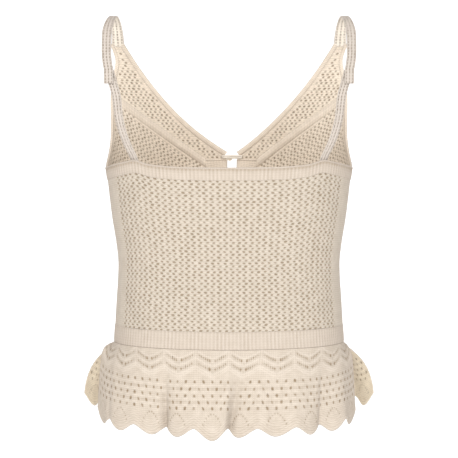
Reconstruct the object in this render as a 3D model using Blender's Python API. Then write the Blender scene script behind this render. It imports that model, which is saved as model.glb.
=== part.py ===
"""Knitted camisole top with a V neck, straps, a waistband and a scalloped peplum, in its hollow worn shape.

Frame: +Z is up, the front faces -Y and +X is the wearer's left. The origin lies midway between the
highest points of the two shoulder pieces. Sizes in the tables and constants are in millimetres, and
every mesh is written in metres. Cloth is a wall of even thickness around a curved middle surface.
"""

import bpy
import numpy as np

MM = 0.001

# Thickness of each kind of cloth, and the gap left at seams
PANEL = 1.8
BAND = 2.2
EDGE = 2.6
STRAP = 2.6
SEAM = 0.3

# Heights
BACK_BAND_LOW = -206.4
WAIST_TOP = -389.4
WAIST_LOW = -409.7
UNDERBUST = -232.0
ARMHOLE_LOW = -189.0
FRONT_TOP = -30.0
KEYHOLE_TOP = -174.5
KEYHOLE_LOW = -206.0

# The front waist seam sits higher than the back one
FRONT_LIFT = 11.0
LIFT_POWER = 1.6

# Figure that the cloth lies on: one row for each level section
SECTIONS = (
    # z, half width, front depth, back depth
    (-415.0, 143.5, 97.0, 93.0),
    (-394.0, 141.8, 95.0, 91.0),
    (-371.0, 140.6, 92.0, 88.0),
    (-349.0, 139.3, 89.0, 85.0),
    (-329.0, 138.0, 86.5, 82.0),
    (-304.0, 137.5, 86.0, 81.0),
    (-280.0, 140.2, 90.0, 83.0),
    (-251.0, 145.0, 98.0, 87.0),
    (-229.0, 147.8, 103.0, 89.5),
    (-206.0, 150.5, 107.0, 91.0),
    (-190.0, 153.0, 108.0, 90.0),
    (-160.0, 156.0, 104.0, 88.0),
    (-128.0, 163.0, 96.0, 84.0),
    (-100.0, 174.0, 87.0, 78.0),
    (-75.0, 187.0, 76.0, 70.0),
    (-50.0, 200.0, 62.0, 60.0),
    (-30.0, 213.0, 43.0, 45.0),
    (-20.0, 222.0, 31.0, 35.0),
)
SQUARENESS = 0.029

# Fullness of each cup over the plain section
CUP_OUT = 12.0
CUP_X, CUP_X_REACH = 76.0, 46.0
CUP_Z, CUP_Z_REACH = -204.0, 46.0

# The keyhole stands a little towards the wearer's right
KEYHOLE_SHIFT = -4.0
SHIFT_X_REACH, SHIFT_Z_REACH = 60.0, 45.0

# Top edge of the back band, lifted where each strap pulls on it: x, z
BACK_TOP = (
    (0.0, -192.0),
    (40.0, -191.6),
    (77.0, -189.8),
    (98.0, -187.0),
    (115.0, -182.0),
    (128.0, -184.0),
    (154.0, -189.0),
)

# V neck as a quadratic curve, with x and z for its start, pull point and end
NECK_START = (133.0, -30.0)
NECK_PULL = (80.2, -117.0)
NECK_END = (6.0, -164.0)
NECK_EDGE_WIDTH = 6.0

# Armhole edge of the front down to the side seam, with degrees round from the centre front
ARMHOLE = (
    # z, degrees
    (-30.0, 41.8),
    (-51.0, 43.2),
    (-66.0, 47.0),
    (-94.0, 55.4),
    (-110.0, 59.8),
    (-128.0, 64.5),
    (-155.0, 71.5),
    (-175.0, 80.0),
    (-189.0, 90.0),
)
ARMHOLE_EDGE_WIDTH = 4.0

# Slanted band between yoke and cup: heights of its ends and its slope
SLANT_HIGH_Z = -94.0
SLANT_LOW_Z = -178.2
SLANT_ANGLE = np.radians(37.5)
SLANT_WIDTH = 8.0

# Plain piece round the keyhole: half widths of the hole, of its ledge and of its lower end
KEYHOLE_HALF = 6.0
PLAIN_TOP_HALF = 33.5
PLAIN_LOW_HALF = 26.0

# Shares of the neck line at which the yoke's outer side passes from armhole to slanted band to ledge
YOKE_ARM_SHARE = 0.22
YOKE_LEDGE_SHARE = 0.88

# Route of a strap from the yoke over the shoulder to the back band
ROUTE = (
    # x, y, z, turn in degrees, width
    (141.0, -35.0, -29.6, -9.5, 16.0),
    (141.3, -25.5, -19.0, -8.0, 15.0),
    (143.0, -12.5, -6.0, -4.0, 14.0),
    (145.3, 2.0, 0.0, 0.0, 13.4),
    (148.0, 16.5, -5.0, 2.0, 12.6),
    (150.0, 29.0, -18.0, 4.0, 12.0),
    (150.5, 40.0, -38.0, 6.0, 12.0),
    (149.0, 50.0, -60.0, 9.0, 12.0),
    (143.8, 58.0, -82.0, 14.0, 12.0),
    (139.3, 61.5, -98.0, 19.0, 12.0),
    (135.4, 64.0, -120.0, 24.0, 12.0),
    (131.3, 65.5, -140.0, 29.0, 12.0),
    (124.0, 65.5, -161.0, 33.0, 12.0),
    (115.6, 63.7, -179.0, 36.0, 12.0),
    (112.5, 63.0, -189.5, 36.0, 12.0),
)
# Where the shoulder piece ends outside the back strap, and how far it moves off it, inwards and sideways
ROUTE_START = 0.001
SHOULDER_END_Z = -88.0
BACK_STRAP_START_Z = -70.0
OVERLAP_STEP = 3.0
OVERLAP_OUT = 4.5
STRAP_COLUMNS = 2

# Peplum: scallops in each half, cloth length to the notches and to the tips
SCALLOPS = 10
TO_NOTCH = 95.0
TO_TIP = 109.0
CLOTH_PERIOD = 43.5
COLUMNS_PER_SCALLOP = 6
PEPLUM_ROWS = 9
STRAIGHT_START = 0.02
FLARE_POWER = 0.9
FOLD_POWER = 1.3
STEEPEST_SHARE = 0.3

# Plan of each hem: half width, depth, where its side edge stands and how far the oval is off centre
HEM_BACK = {"half_width": 160.0, "depth": 105.0, "edge_y": 20.0, "centre_x": 3.0}
HEM_FRONT = {"half_width": 190.0, "depth": 112.0, "edge_y": 38.0, "centre_x": 0.0}

# Soft folds of each half, counted in scallops from the wearer's left side
FOLDS_BACK = (
    # centre, depth outwards, reach, lean, cloth gathered
    (1.4, 4.0, 0.45, 0.0, 3.0),
    (3.0, -10.0, 0.38, 0.1, 15.0),
    (4.5, 9.0, 0.48, 0.3, 0.0),
    (5.1, -8.0, 0.36, 0.45, 15.0),
    (7.0, 4.0, 0.50, 0.0, 0.0),
    (8.0, -7.0, 0.40, 0.1, 12.0),
    (8.8, 4.0, 0.40, 0.0, 4.0),
)
FOLDS_FRONT = (
    # centre, depth outwards, reach, lean, cloth gathered
    (1.2, 5.0, 0.55, 0.1, 3.0),
    (2.4, -9.0, 0.42, -0.2, 9.0),
    (3.7, 6.0, 0.50, 0.0, 0.0),
    (5.2, -8.0, 0.40, 0.3, 8.0),
    (6.1, 7.0, 0.45, 0.1, 0.0),
    (7.6, -8.0, 0.40, -0.1, 6.0),
    (8.9, 5.0, 0.50, 0.0, 3.0),
)

# Button and its loop
BUTTON_RADIUS = 3.6
BUTTON_THICKNESS = 3.4
BUTTON_X = 3.0
BUTTON_Z = -172.2
LOOP_HALF_LENGTH = 13.5
LOOP_LOW, LOOP_HIGH = -172.6, -168.6
LOOP_THICKNESS = 1.6

# Fineness of the grids
BODY_COLUMNS = 28
BAND_COLUMNS = 32
ARM_STEPS, ARM_LOW_STEPS, SLANT_STEPS, LEDGE_STEPS, SIDE_STEPS, YOKE_ROWS = 6, 9, 12, 3, 4, 5

# Angle that leaves half a seam's gap at each side of the body
SIDE_ANGLE = np.pi / 2 - SEAM / 300

FRONT, BACK = -1, 1

COLOURS = {
    "openwork": ((0.79, 0.69, 0.54, 1.0), 0.9),
    "plain_knit": ((0.81, 0.72, 0.58, 1.0), 0.9),
    "strap_knit": ((0.81, 0.73, 0.60, 1.0), 0.9),
    "peplum_lace": ((0.80, 0.71, 0.57, 1.0), 0.9),
    "button_shell": ((0.83, 0.76, 0.64, 1.0), 0.35),
}


def clear_scene():
    for thing in list(bpy.data.objects):
        bpy.data.objects.remove(thing)


def material(name):
    """One material for each kind of knit and for the button."""
    found = bpy.data.materials.get(name)
    if found:
        return found
    colour, roughness = COLOURS[name]
    made = bpy.data.materials.new(name)
    made.use_nodes = True
    shader = made.node_tree.nodes["Principled BSDF"]
    shader.inputs["Base Color"].default_value = colour
    shader.inputs["Roughness"].default_value = roughness
    shader.inputs["Metallic"].default_value = 0.0
    return made


def through(table, column, at):
    """Smooth curve through a column of a table, read against the table's first column."""
    rows = np.array(sorted(table), float)
    knots, values = rows[:, 0], rows[:, column]
    slopes = np.gradient(values, knots)
    at = np.clip(at, knots[0], knots[-1])
    i = np.clip(np.searchsorted(knots, at) - 1, 0, len(knots) - 2)
    step = knots[i + 1] - knots[i]
    t = (at - knots[i]) / step
    start = (2 * t**3 - 3 * t**2 + 1) * values[i] + (t**3 - 2 * t**2 + t) * step * slopes[i]
    end = (3 * t**2 - 2 * t**3) * values[i + 1] + (t**3 - t**2) * step * slopes[i + 1]
    return start + end


def oval(angle, half_width, depth):
    """Half oval, a little squarer than an ellipse: x across it and y towards its outside."""
    x = half_width * (np.sin(angle) + SQUARENESS * np.sin(3 * angle)) / (1 - SQUARENESS)
    y = depth * (np.cos(angle) - SQUARENESS * np.cos(3 * angle)) / (1 - SQUARENESS)
    return x, y


def even_angle(u, half_width, depth):
    """Angle at which an oval has run the share u of the way from its middle to its side."""
    pull = (half_width - depth) / (2 * (half_width + depth))
    return u * np.pi / 2 - pull * np.sin(u * np.pi)


def section(z, side):
    """Half width and depth of the figure at height z."""
    return through(SECTIONS, 1, z), through(SECTIONS, 2 if side == FRONT else 3, z)


def cloth_point(angle, z, side):
    """Point of the middle surface at an angle round from the centre front or back, at height z."""
    half_width, depth = section(z, side)
    x, y = oval(angle, half_width, depth)
    if side == FRONT:
        cup = np.exp(-(((np.abs(x) - CUP_X) / CUP_X_REACH) ** 2) - ((z - CUP_Z) / CUP_Z_REACH) ** 2)
        y = y + CUP_OUT * cup * np.cos(angle)
        reach = (x / SHIFT_X_REACH) ** 2 + ((z - KEYHOLE_TOP) / SHIFT_Z_REACH) ** 2
        x = x + KEYHOLE_SHIFT * np.exp(-reach)
    return np.stack([x, side * y, z + 0 * x], -1)


def angle_at(x, z):
    """Angle round from the centre front at which the front's oval reaches x."""
    half_width, _ = section(z, FRONT)
    share = np.clip(np.asarray(x) / half_width, -1, 1)
    angle = np.arcsin(share)
    for _ in range(6):
        wide = (np.sin(angle) + SQUARENESS * np.sin(3 * angle)) / (1 - SQUARENESS)
        slope = (np.cos(angle) + 3 * SQUARENESS * np.cos(3 * angle)) / (1 - SQUARENESS)
        angle = angle - (wide - share) / np.maximum(slope, 0.05)
    return angle


def waist_lift(angle, side):
    """Rise of the waist seams from the centre back round to the centre front."""
    round_from_back = np.abs(angle) if side == BACK else np.pi - np.abs(angle)
    return FRONT_LIFT * np.sin(round_from_back / 2) ** LIFT_POWER


def new_object(name, points, faces, material_name):
    mesh = bpy.data.meshes.new(name)
    mesh.from_pydata((np.asarray(points) * MM).tolist(), [], faces)
    mesh.materials.append(material(material_name))
    mesh.shade_smooth()
    made = bpy.data.objects.new(name, mesh)
    bpy.context.collection.objects.link(made)
    return made


def sheet(name, grid, thickness, material_name):
    """Wall of even thickness around a grid of points."""
    rows, columns = grid.shape[:2]
    index = np.arange(rows * columns).reshape(rows, columns)
    quads = np.stack([index[:-1, :-1], index[1:, :-1], index[1:, 1:], index[:-1, 1:]], -1)
    made = new_object(name, grid.reshape(-1, 3), quads.reshape(-1, 4).tolist(), material_name)
    wall = made.modifiers.new("wall", "SOLIDIFY")
    wall.thickness = thickness * MM
    wall.offset = 0.0
    wall.use_even_offset = True
    made.data.set_sharp_from_angle(angle=np.radians(50))
    return made


def tube_half(name, side, low, high, columns, rows, thickness, material_name):
    """Half of the body tube between two heights, each a function of the angle."""
    u = np.linspace(-1, 1, columns + 1)
    angle = even_angle(u, *section(np.array(UNDERBUST), side))
    angle = np.clip(angle, -SIDE_ANGLE, SIDE_ANGLE)
    share = np.linspace(0, 1, rows + 1)[:, None]
    z = low(angle) + (high(angle) - low(angle)) * share
    angle = np.broadcast_to(angle, z.shape)
    return sheet(name, cloth_point(angle, z, side), thickness, material_name)


def back_top(angle):
    x, _ = oval(angle, *section(np.array(ARMHOLE_LOW), BACK))
    return through(BACK_TOP, 1, np.abs(x))


def level(height):
    """Height of a seam that runs level round one half of the body."""
    return lambda angle: height + 0 * angle


def lifted(height, side):
    """Height of a waist seam round one half of the body."""
    return lambda angle: height + waist_lift(angle, side)


def build_body():
    waist_seam = WAIST_TOP + SEAM
    low, high = lifted(waist_seam, BACK), level(BACK_BAND_LOW - SEAM)
    tube_half("back_panel", BACK, low, high, BODY_COLUMNS, 10, PANEL, "openwork")
    low, high = lifted(waist_seam, FRONT), level(UNDERBUST - SEAM)
    tube_half("front_panel", FRONT, low, high, BODY_COLUMNS, 9, PANEL, "openwork")
    tube_half("back_band", BACK, level(BACK_BAND_LOW), back_top, BAND_COLUMNS, 2, BAND, "plain_knit")
    for name, side in (("waistband_back", BACK), ("waistband_front", FRONT)):
        low, high = lifted(WAIST_LOW, side), lifted(WAIST_TOP, side)
        tube_half(name, side, low, high, BODY_COLUMNS, 2, BAND, "plain_knit")


def neck_curve(t):
    """V neck line in x and z, from the shoulder piece to the keyhole."""
    weights = np.stack([(1 - t) ** 2, 2 * t * (1 - t), t**2])
    x, z = (weights.T @ np.array([NECK_START, NECK_PULL, NECK_END])).T
    return angle_at(x, z), z


def armhole_curve(z):
    return np.radians(through(ARMHOLE, 1, z)), z


def inset(curve, distance):
    """Curve of angles and heights moved sideways by a distance, to its left as seen from outside."""
    angle, z = curve
    half_width, depth = section(z, FRONT)
    run = np.hypot(half_width * np.cos(angle), depth * np.sin(angle))
    along = np.gradient(angle) * run
    up = np.gradient(z)
    length = np.hypot(along, up)
    return angle - distance * up / length / run, z + distance * along / length


def joined(*curves):
    """Curves end to end, without the doubled points where they meet."""
    parts = [tuple(c[1:] for c in curve) if i else curve for i, curve in enumerate(curves)]
    return np.concatenate([p[0] for p in parts]), np.concatenate([p[1] for p in parts])


def ended_at(curve, following):
    """Curve whose last point is the first one of the curve that follows it."""
    return tuple(np.append(c[:-1], f[0]) for c, f in zip(curve, following))


def between(first, second, rows):
    """Grid of angles and heights running straight from one curve to another."""
    share = np.linspace(0, 1, rows + 1)[:, None]
    return tuple(a + (b - a) * share for a, b in zip(first, second))


def line(start, end, count):
    """Straight line between two points in x and z, as angles and heights."""
    x, z = (np.linspace(a, b, count + 1) for a, b in zip(start, end))
    return angle_at(x, z), z


def filled(low, high, outer, inner):
    """Grid of angles and heights inside four curves: low and high run inwards, outer and inner upwards."""
    u = np.linspace(0, 1, len(low[0]))
    v = np.linspace(0, 1, len(outer[0]))[:, None]
    patch = []
    for a, b, c, d in zip(low, high, outer, inner):
        ruled = (1 - v) * a + v * b + (1 - u) * c[:, None] + u * d[:, None]
        corners = (1 - u) * (1 - v) * a[0] + u * (1 - v) * a[-1] + (1 - u) * v * b[0] + u * v * b[-1]
        patch.append(ruled - corners)
    return tuple(patch)


def both_sides(name, patch, thickness, material_name):
    """Piece of the front for the wearer's left, and its mirror for the right."""
    angle, z = patch
    sheet(f"{name}_left", cloth_point(angle, z, FRONT), thickness, material_name)
    sheet(f"{name}_right", cloth_point(-angle, z, FRONT), thickness, material_name)


def arm_inner_at(z):
    """Angle and height of the armhole edge's inner side."""
    angle, z = inset(armhole_curve(z + np.linspace(1, -1, 3)), -ARMHOLE_EDGE_WIDTH - SEAM)
    return angle[1], z[1]


def plain_side_at(z):
    """Half width of the keyhole piece at height z, and that of its ledge above it."""
    share = np.clip((KEYHOLE_TOP - z) / (KEYHOLE_TOP - UNDERBUST), 0, 1)
    return PLAIN_TOP_HALF + (PLAIN_LOW_HALF - PLAIN_TOP_HALF) * share


def slant_line(offset):
    """Line of the slanted band, moved square to it, from the armhole edge down to the keyhole piece."""
    rise = offset / np.cos(SLANT_ANGLE)
    start_angle, start_z = arm_inner_at(SLANT_HIGH_Z + rise)
    start_x = oval(start_angle, *section(start_z, FRONT))[0]
    end_x = plain_side_at(SLANT_LOW_Z + rise) + SEAM
    end_z = SLANT_LOW_Z + rise + (end_x - PLAIN_TOP_HALF) * np.tan(SLANT_ANGLE)
    return line((start_x, start_z), (end_x, end_z), SLANT_STEPS)


def build_front_top():
    """Yokes, slanted bands, cups and edges: patches between curves drawn on the front of the figure."""
    slant_upper = slant_line(SLANT_WIDTH / 2 + SEAM)
    slant_lower = slant_line(-SLANT_WIDTH / 2 - SEAM)
    band = between(slant_line(SLANT_WIDTH / 2), slant_line(-SLANT_WIDTH / 2), 2)
    both_sides("slant_band", band, EDGE, "plain_knit")

    neck = neck_curve(np.concatenate([
        np.linspace(0, YOKE_ARM_SHARE, ARM_STEPS + 1),
        np.linspace(YOKE_ARM_SHARE, YOKE_LEDGE_SHARE, SLANT_STEPS + 1)[1:],
        np.linspace(YOKE_LEDGE_SHARE, 1, LEDGE_STEPS + 1)[1:],
    ]))
    both_sides("neck_edge", between(neck, inset(neck, NECK_EDGE_WIDTH), 1), EDGE, "plain_knit")

    high_z = np.linspace(FRONT_TOP, slant_upper[1][0], ARM_STEPS + 1)
    low_share = np.sin(np.linspace(0, np.pi / 2, ARM_LOW_STEPS + 1))
    low_z = slant_lower[1][0] + (ARMHOLE_LOW - slant_lower[1][0]) * low_share
    arm = armhole_curve(np.concatenate([high_z, low_z]))
    both_sides("armhole_edge", between(arm, inset(arm, -ARMHOLE_EDGE_WIDTH), 1), EDGE, "plain_knit")

    ledge_z = KEYHOLE_TOP + SEAM / 2
    ledge = line((PLAIN_TOP_HALF, ledge_z), (KEYHOLE_HALF, ledge_z), LEDGE_STEPS)
    arm_high = inset(armhole_curve(high_z), -ARMHOLE_EDGE_WIDTH - SEAM)
    outer = joined(ended_at(arm_high, slant_upper), slant_upper, ledge)
    both_sides("yoke", between(inset(neck, NECK_EDGE_WIDTH + SEAM), outer, YOKE_ROWS), PANEL, "openwork")

    falling = inset(armhole_curve(low_z), -ARMHOLE_EDGE_WIDTH - 2 * SEAM)
    arm_low = ended_at((falling[0][::-1], falling[1][::-1]), slant_lower)
    side_top = falling[1][-1] - SEAM
    side_line = (np.full(SIDE_STEPS + 1, SIDE_ANGLE), np.linspace(UNDERBUST, side_top, SIDE_STEPS + 1))
    outer = joined(side_line, arm_low)
    inner_top_z = slant_lower[1][-1]
    inner_top = (plain_side_at(inner_top_z) + SEAM, inner_top_z)
    inner = line((PLAIN_LOW_HALF + SEAM, UNDERBUST), inner_top, len(outer[0]) - 1)
    low = (np.linspace(SIDE_ANGLE, inner[0][0], SLANT_STEPS + 1), np.full(SLANT_STEPS + 1, UNDERBUST))
    both_sides("cup", filled(low, slant_lower, outer, inner), PANEL, "openwork")


def build_keyhole_piece():
    """Plain piece, shaped like a U round the lower end of the keyhole."""
    low = KEYHOLE_LOW + KEYHOLE_HALF
    turn = np.linspace(-np.pi / 2, np.pi / 2, 9)
    top = KEYHOLE_TOP - SEAM / 2
    inner = joined(
        line((-KEYHOLE_HALF, top), (-KEYHOLE_HALF, low), 4),
        (angle_at(KEYHOLE_HALF * np.sin(turn), low), low - KEYHOLE_HALF * np.cos(turn)),
        line((KEYHOLE_HALF, low), (KEYHOLE_HALF, top), 4),
    )
    outer = joined(
        line((-PLAIN_TOP_HALF, top), (-PLAIN_LOW_HALF, UNDERBUST), 4),
        line((-PLAIN_LOW_HALF, UNDERBUST), (PLAIN_LOW_HALF, UNDERBUST), 8),
        line((PLAIN_LOW_HALF, UNDERBUST), (PLAIN_TOP_HALF, top), 4),
    )
    angle, z = between(inner, outer, 4)
    sheet("keyhole_piece", cloth_point(angle, z, FRONT), PANEL, "plain_knit")


def route_frame(share):
    """Centre, width direction, outward direction and width along a strap's route."""
    rows = np.array(ROUTE)
    steps = np.linalg.norm(np.diff(rows[:, :3], axis=0), axis=1)
    run = np.concatenate([[0], np.cumsum(steps)]) / steps.sum()
    table = tuple(map(tuple, np.column_stack([run, rows])))
    x, y, z, turn, width = (through(table, column, share) for column in range(1, 6))
    centre = np.stack([x, y, z], -1)
    turn = np.radians(turn)
    across = np.stack([np.cos(turn), -np.sin(turn), 0 * turn], -1)
    ahead = np.gradient(centre, axis=0)
    outward = np.cross(across, ahead)
    outward /= np.linalg.norm(outward, axis=1, keepdims=True)
    return centre, across, outward, width


def share_at(z):
    """Share of the route at which its rear part reaches height z."""
    share = np.linspace(0, 1, 400)
    heights = route_frame(share)[0][:, 2]
    behind = heights.argmax()
    return float(np.interp(-z, -heights[behind:], share[behind:]))


def strap(name, share, shift_out, step_in):
    """Flat strap along a stretch of the route, for the wearer's left and mirrored for the right."""
    centre, across, outward, width = route_frame(share)
    centre = centre + across * shift_out[:, None] - outward * step_in[:, None]
    offsets = np.linspace(-0.5, 0.5, STRAP_COLUMNS + 1)
    grid = centre[:, None] + across[:, None] * (offsets * width[:, None])[..., None]
    sheet(f"{name}_left", grid, STRAP, "strap_knit")
    sheet(f"{name}_right", grid * (-1, 1, 1), STRAP, "strap_knit")


def build_straps():
    """Shoulder pieces, and back straps whose upper ends lie under them."""
    overlap_start, overlap_end = share_at(BACK_STRAP_START_Z), share_at(SHOULDER_END_Z)
    overlap = overlap_end - overlap_start

    share = np.linspace(ROUTE_START, overlap_end, 21)
    strap("shoulder", share, OVERLAP_OUT * np.clip((share - overlap_start) / overlap, 0, 1), 0 * share)

    share = np.linspace(overlap_start, 1, 17)
    strap("back_strap", share, 0 * share, OVERLAP_STEP * np.clip(3 - (share - overlap_start) / overlap, 0, 1))


def build_peplum(name, side, hem, folds):
    """Lace peplum half: cloth of fixed length that swings out to the hem's plan and falls in soft folds."""
    columns = SCALLOPS * COLUMNS_PER_SCALLOP
    s = np.linspace(0, SCALLOPS, columns + 1)
    t = np.concatenate([[0.0], np.linspace(STRAIGHT_START, 1, PEPLUM_ROWS)])[:, None]
    swung = (t - STRAIGHT_START).clip(0) / (1 - STRAIGHT_START)

    spread = CLOTH_PERIOD * s
    for centre, _, reach, _, gathered in folds:
        spread = spread - gathered * 0.5 * (1 + np.tanh((s - centre) / reach))
    spread = (spread - spread[0]) / (spread[-1] - spread[0])

    top_angle = even_angle(1 - 2 * s / SCALLOPS, *section(np.array(WAIST_LOW), side))
    top_angle = np.clip(top_angle, -SIDE_ANGLE, SIDE_ANGLE)
    top_z = WAIST_LOW - SEAM + waist_lift(top_angle, side)
    top = cloth_point(top_angle, top_z, side)

    edge_share = np.linspace(0, 1, 200)
    edge_angle = even_angle(edge_share, hem["half_width"], hem["depth"])
    reach_share = np.interp(-hem["edge_y"], -oval(edge_angle, hem["half_width"], hem["depth"])[1], edge_share)
    hem_angle = even_angle(reach_share * (1 - 2 * spread), hem["half_width"], hem["depth"])
    hem_x, hem_y = oval(hem_angle, hem["half_width"], hem["depth"])
    swing = np.stack([hem_x + hem["centre_x"] - top[:, 0], side * hem_y - top[:, 1]], -1)
    outward = np.stack([hem_x / hem["half_width"] ** 2, side * hem_y / hem["depth"] ** 2], -1)
    outward /= np.linalg.norm(outward, axis=1, keepdims=True)

    fold = np.zeros((len(t), len(s)))
    for centre, out, reach, lean, _ in folds:
        fold += out * np.exp(-(((s - centre - lean * (1 - t)) / reach) ** 2))
    flat = swing * (np.sin(np.pi / 2 * swung) ** FLARE_POWER)[..., None]
    flat = flat + outward * (fold * swung**FOLD_POWER)[..., None]

    scallop = 0.5 - 0.5 * np.cos(2 * np.pi * s)
    length = TO_NOTCH + (TO_TIP - TO_NOTCH) * scallop
    step = length * np.diff(t, axis=0)
    sideways = np.linalg.norm(np.diff(flat, axis=0), axis=-1)
    drop = np.sqrt(np.maximum(step**2 - sideways**2, (STEEPEST_SHARE * step) ** 2))
    z = top_z - np.concatenate([np.zeros((1, len(s))), np.cumsum(drop, axis=0)])
    grid = np.concatenate([top[:, :2] + flat, z[..., None]], -1)
    sheet(name, grid, PANEL, "peplum_lace")


def build_button():
    """Small domed button outside the loop, and the loop that closes the top of the keyhole."""
    x = np.linspace(-LOOP_HALF_LENGTH, LOOP_HALF_LENGTH, 13)
    z = np.array([LOOP_LOW, LOOP_HIGH])[:, None] + 0 * x
    grid = cloth_point(angle_at(x + 0 * z, z), z, FRONT)
    inwards = PANEL / 2 + EDGE / 2 + SEAM
    grid[..., 1] += inwards
    sheet("button_loop", grid, LOOP_THICKNESS, "strap_knit")

    middle = cloth_point(angle_at(np.array(BUTTON_X), np.array(BUTTON_Z)), np.array(BUTTON_Z), FRONT)
    back_face = middle[1] + inwards - LOOP_THICKNESS / 2 - SEAM
    turns, rings = 16, 5
    rise = np.linspace(0, np.pi / 2, rings)
    round_angle = np.linspace(0, 2 * np.pi, turns, endpoint=False)
    radius = np.concatenate([[0.55], np.cos(rise[:-1])]) * BUTTON_RADIUS
    out = np.concatenate([[0.0], 0.35 + 0.65 * np.sin(rise[:-1])]) * BUTTON_THICKNESS
    points = np.stack([
        middle[0] + radius[:, None] * np.cos(round_angle),
        back_face - out[:, None] + 0 * round_angle,
        middle[2] + radius[:, None] * np.sin(round_angle),
    ], -1).reshape(-1, 3)
    points = np.vstack([points, (middle[0], back_face - BUTTON_THICKNESS, middle[2])])
    index = np.arange(rings * turns).reshape(rings, turns)
    after = np.roll(index, -1, axis=1)
    quads = np.stack([index[:-1], after[:-1], after[1:], index[1:]], -1).reshape(-1, 4).tolist()
    tip = len(points) - 1
    fan = [[int(a), int(b), tip] for a, b in zip(index[-1], after[-1])]
    new_object("button", points, quads + fan + [index[0, ::-1].tolist()], "button_shell")


clear_scene()
build_body()
build_front_top()
build_keyhole_piece()
build_straps()
build_peplum("peplum_back", BACK, HEM_BACK, FOLDS_BACK)
build_peplum("peplum_front", FRONT, HEM_FRONT, FOLDS_FRONT)
build_button()
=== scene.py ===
"""Dresses a packed camisole top: openwork knit, ribbed bands, mesh straps and a scalloped lace peplum."""

import bpy
import numpy as np
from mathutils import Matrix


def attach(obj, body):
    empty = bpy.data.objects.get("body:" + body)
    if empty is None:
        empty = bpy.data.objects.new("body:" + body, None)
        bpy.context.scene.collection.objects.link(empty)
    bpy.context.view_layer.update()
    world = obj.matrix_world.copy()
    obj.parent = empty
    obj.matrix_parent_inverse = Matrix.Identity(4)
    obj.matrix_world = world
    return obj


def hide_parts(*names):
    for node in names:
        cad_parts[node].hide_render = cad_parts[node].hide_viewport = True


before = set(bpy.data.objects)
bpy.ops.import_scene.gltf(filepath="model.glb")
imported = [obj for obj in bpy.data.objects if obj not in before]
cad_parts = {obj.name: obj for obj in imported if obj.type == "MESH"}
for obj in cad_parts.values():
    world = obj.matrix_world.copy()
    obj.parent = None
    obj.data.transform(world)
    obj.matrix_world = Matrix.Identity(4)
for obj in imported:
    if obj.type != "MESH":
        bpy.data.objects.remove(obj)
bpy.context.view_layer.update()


# Back body, openwork knit
# One knitted panel of cream cotton from the waistband up to the back band. Rows of stitches lean left and
# right by turns and leave a small hole between each two, half a step aside in every other row.
MM = 0.001
FRONT, BACK = -1, 1
SEAM = 0.3
SECTIONS = (
    # z, half width, front depth, back depth
    (-415.0, 143.5, 97.0, 93.0),
    (-394.0, 141.8, 95.0, 91.0),
    (-371.0, 140.6, 92.0, 88.0),
    (-349.0, 139.3, 89.0, 85.0),
    (-329.0, 138.0, 86.5, 82.0),
    (-304.0, 137.5, 86.0, 81.0),
    (-280.0, 140.2, 90.0, 83.0),
    (-251.0, 145.0, 98.0, 87.0),
    (-229.0, 147.8, 103.0, 89.5),
    (-206.0, 150.5, 107.0, 91.0),
    (-190.0, 153.0, 108.0, 90.0),
    (-160.0, 156.0, 104.0, 88.0),
    (-128.0, 163.0, 96.0, 84.0),
    (-100.0, 174.0, 87.0, 78.0),
    (-75.0, 187.0, 76.0, 70.0),
    (-50.0, 200.0, 62.0, 60.0),
    (-30.0, 213.0, 43.0, 45.0),
    (-20.0, 222.0, 31.0, 35.0),
)
SQUARENESS = 0.029
CUP_OUT, CUP_X, CUP_Z, CUP_REACH = 12.0, 76.0, -204.0, 46.0
KEYHOLE_TOP = -174.5
KEYHOLE_SHIFT, SHIFT_X_REACH, SHIFT_Z_REACH = -4.0, 60.0, 45.0
WAIST_TOP, WAIST_LOW = -389.4, -409.7
UNDERBUST, ARMHOLE_LOW = -232.0, -189.0
FRONT_LIFT, LIFT_POWER = 11.0, 1.6
SIDE_ANGLE = np.pi / 2 - SEAM / 300


def through(table, column, at):
    """Smooth curve through one column of a table against its first: a cubic piece between each two rows."""
    rows = np.array(sorted(table), float)
    knots, values = rows[:, 0], rows[:, column]
    slopes = np.gradient(values, knots)
    at = np.clip(at, knots[0], knots[-1])
    i = np.clip(np.searchsorted(knots, at) - 1, 0, len(knots) - 2)
    step = knots[i + 1] - knots[i]
    t = (at - knots[i]) / step
    start = (2 * t**3 - 3 * t**2 + 1) * values[i] + (t**3 - 2 * t**2 + t) * step * slopes[i]
    end = (3 * t**2 - 2 * t**3) * values[i + 1] + (t**3 - t**2) * step * slopes[i + 1]
    return start + end


def oval(angle, half_width, depth):
    """Half oval a little squarer than an ellipse: a sine and cosine with a small third harmonic."""
    x = half_width * (np.sin(angle) + SQUARENESS * np.sin(3 * angle)) / (1 - SQUARENESS)
    y = depth * (np.cos(angle) - SQUARENESS * np.cos(3 * angle)) / (1 - SQUARENESS)
    return x, y


def even_angle(u, half_width, depth):
    """Angle at which the oval has run the share u of the way from its middle to its side."""
    pull = (half_width - depth) / (2 * (half_width + depth))
    return u * np.pi / 2 - pull * np.sin(u * np.pi)


def section(z, side):
    return through(SECTIONS, 1, z), through(SECTIONS, 2 if side == FRONT else 3, z)


def figure(angle, z, side):
    """Point of the cloth's middle: the oval at height z, with a soft round fullness at each cup."""
    half_width, depth = section(z, side)
    x, y = oval(angle, half_width, depth)
    if side == FRONT:
        cup = np.exp(-(((np.abs(x) - CUP_X) / CUP_REACH) ** 2) - ((z - CUP_Z) / CUP_REACH) ** 2)
        y = y + CUP_OUT * cup * np.cos(angle)
        reach = (x / SHIFT_X_REACH) ** 2 + ((z - KEYHOLE_TOP) / SHIFT_Z_REACH) ** 2
        x = x + KEYHOLE_SHIFT * np.exp(-reach)
    return np.stack([x, side * y, z + 0 * x], -1)


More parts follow.
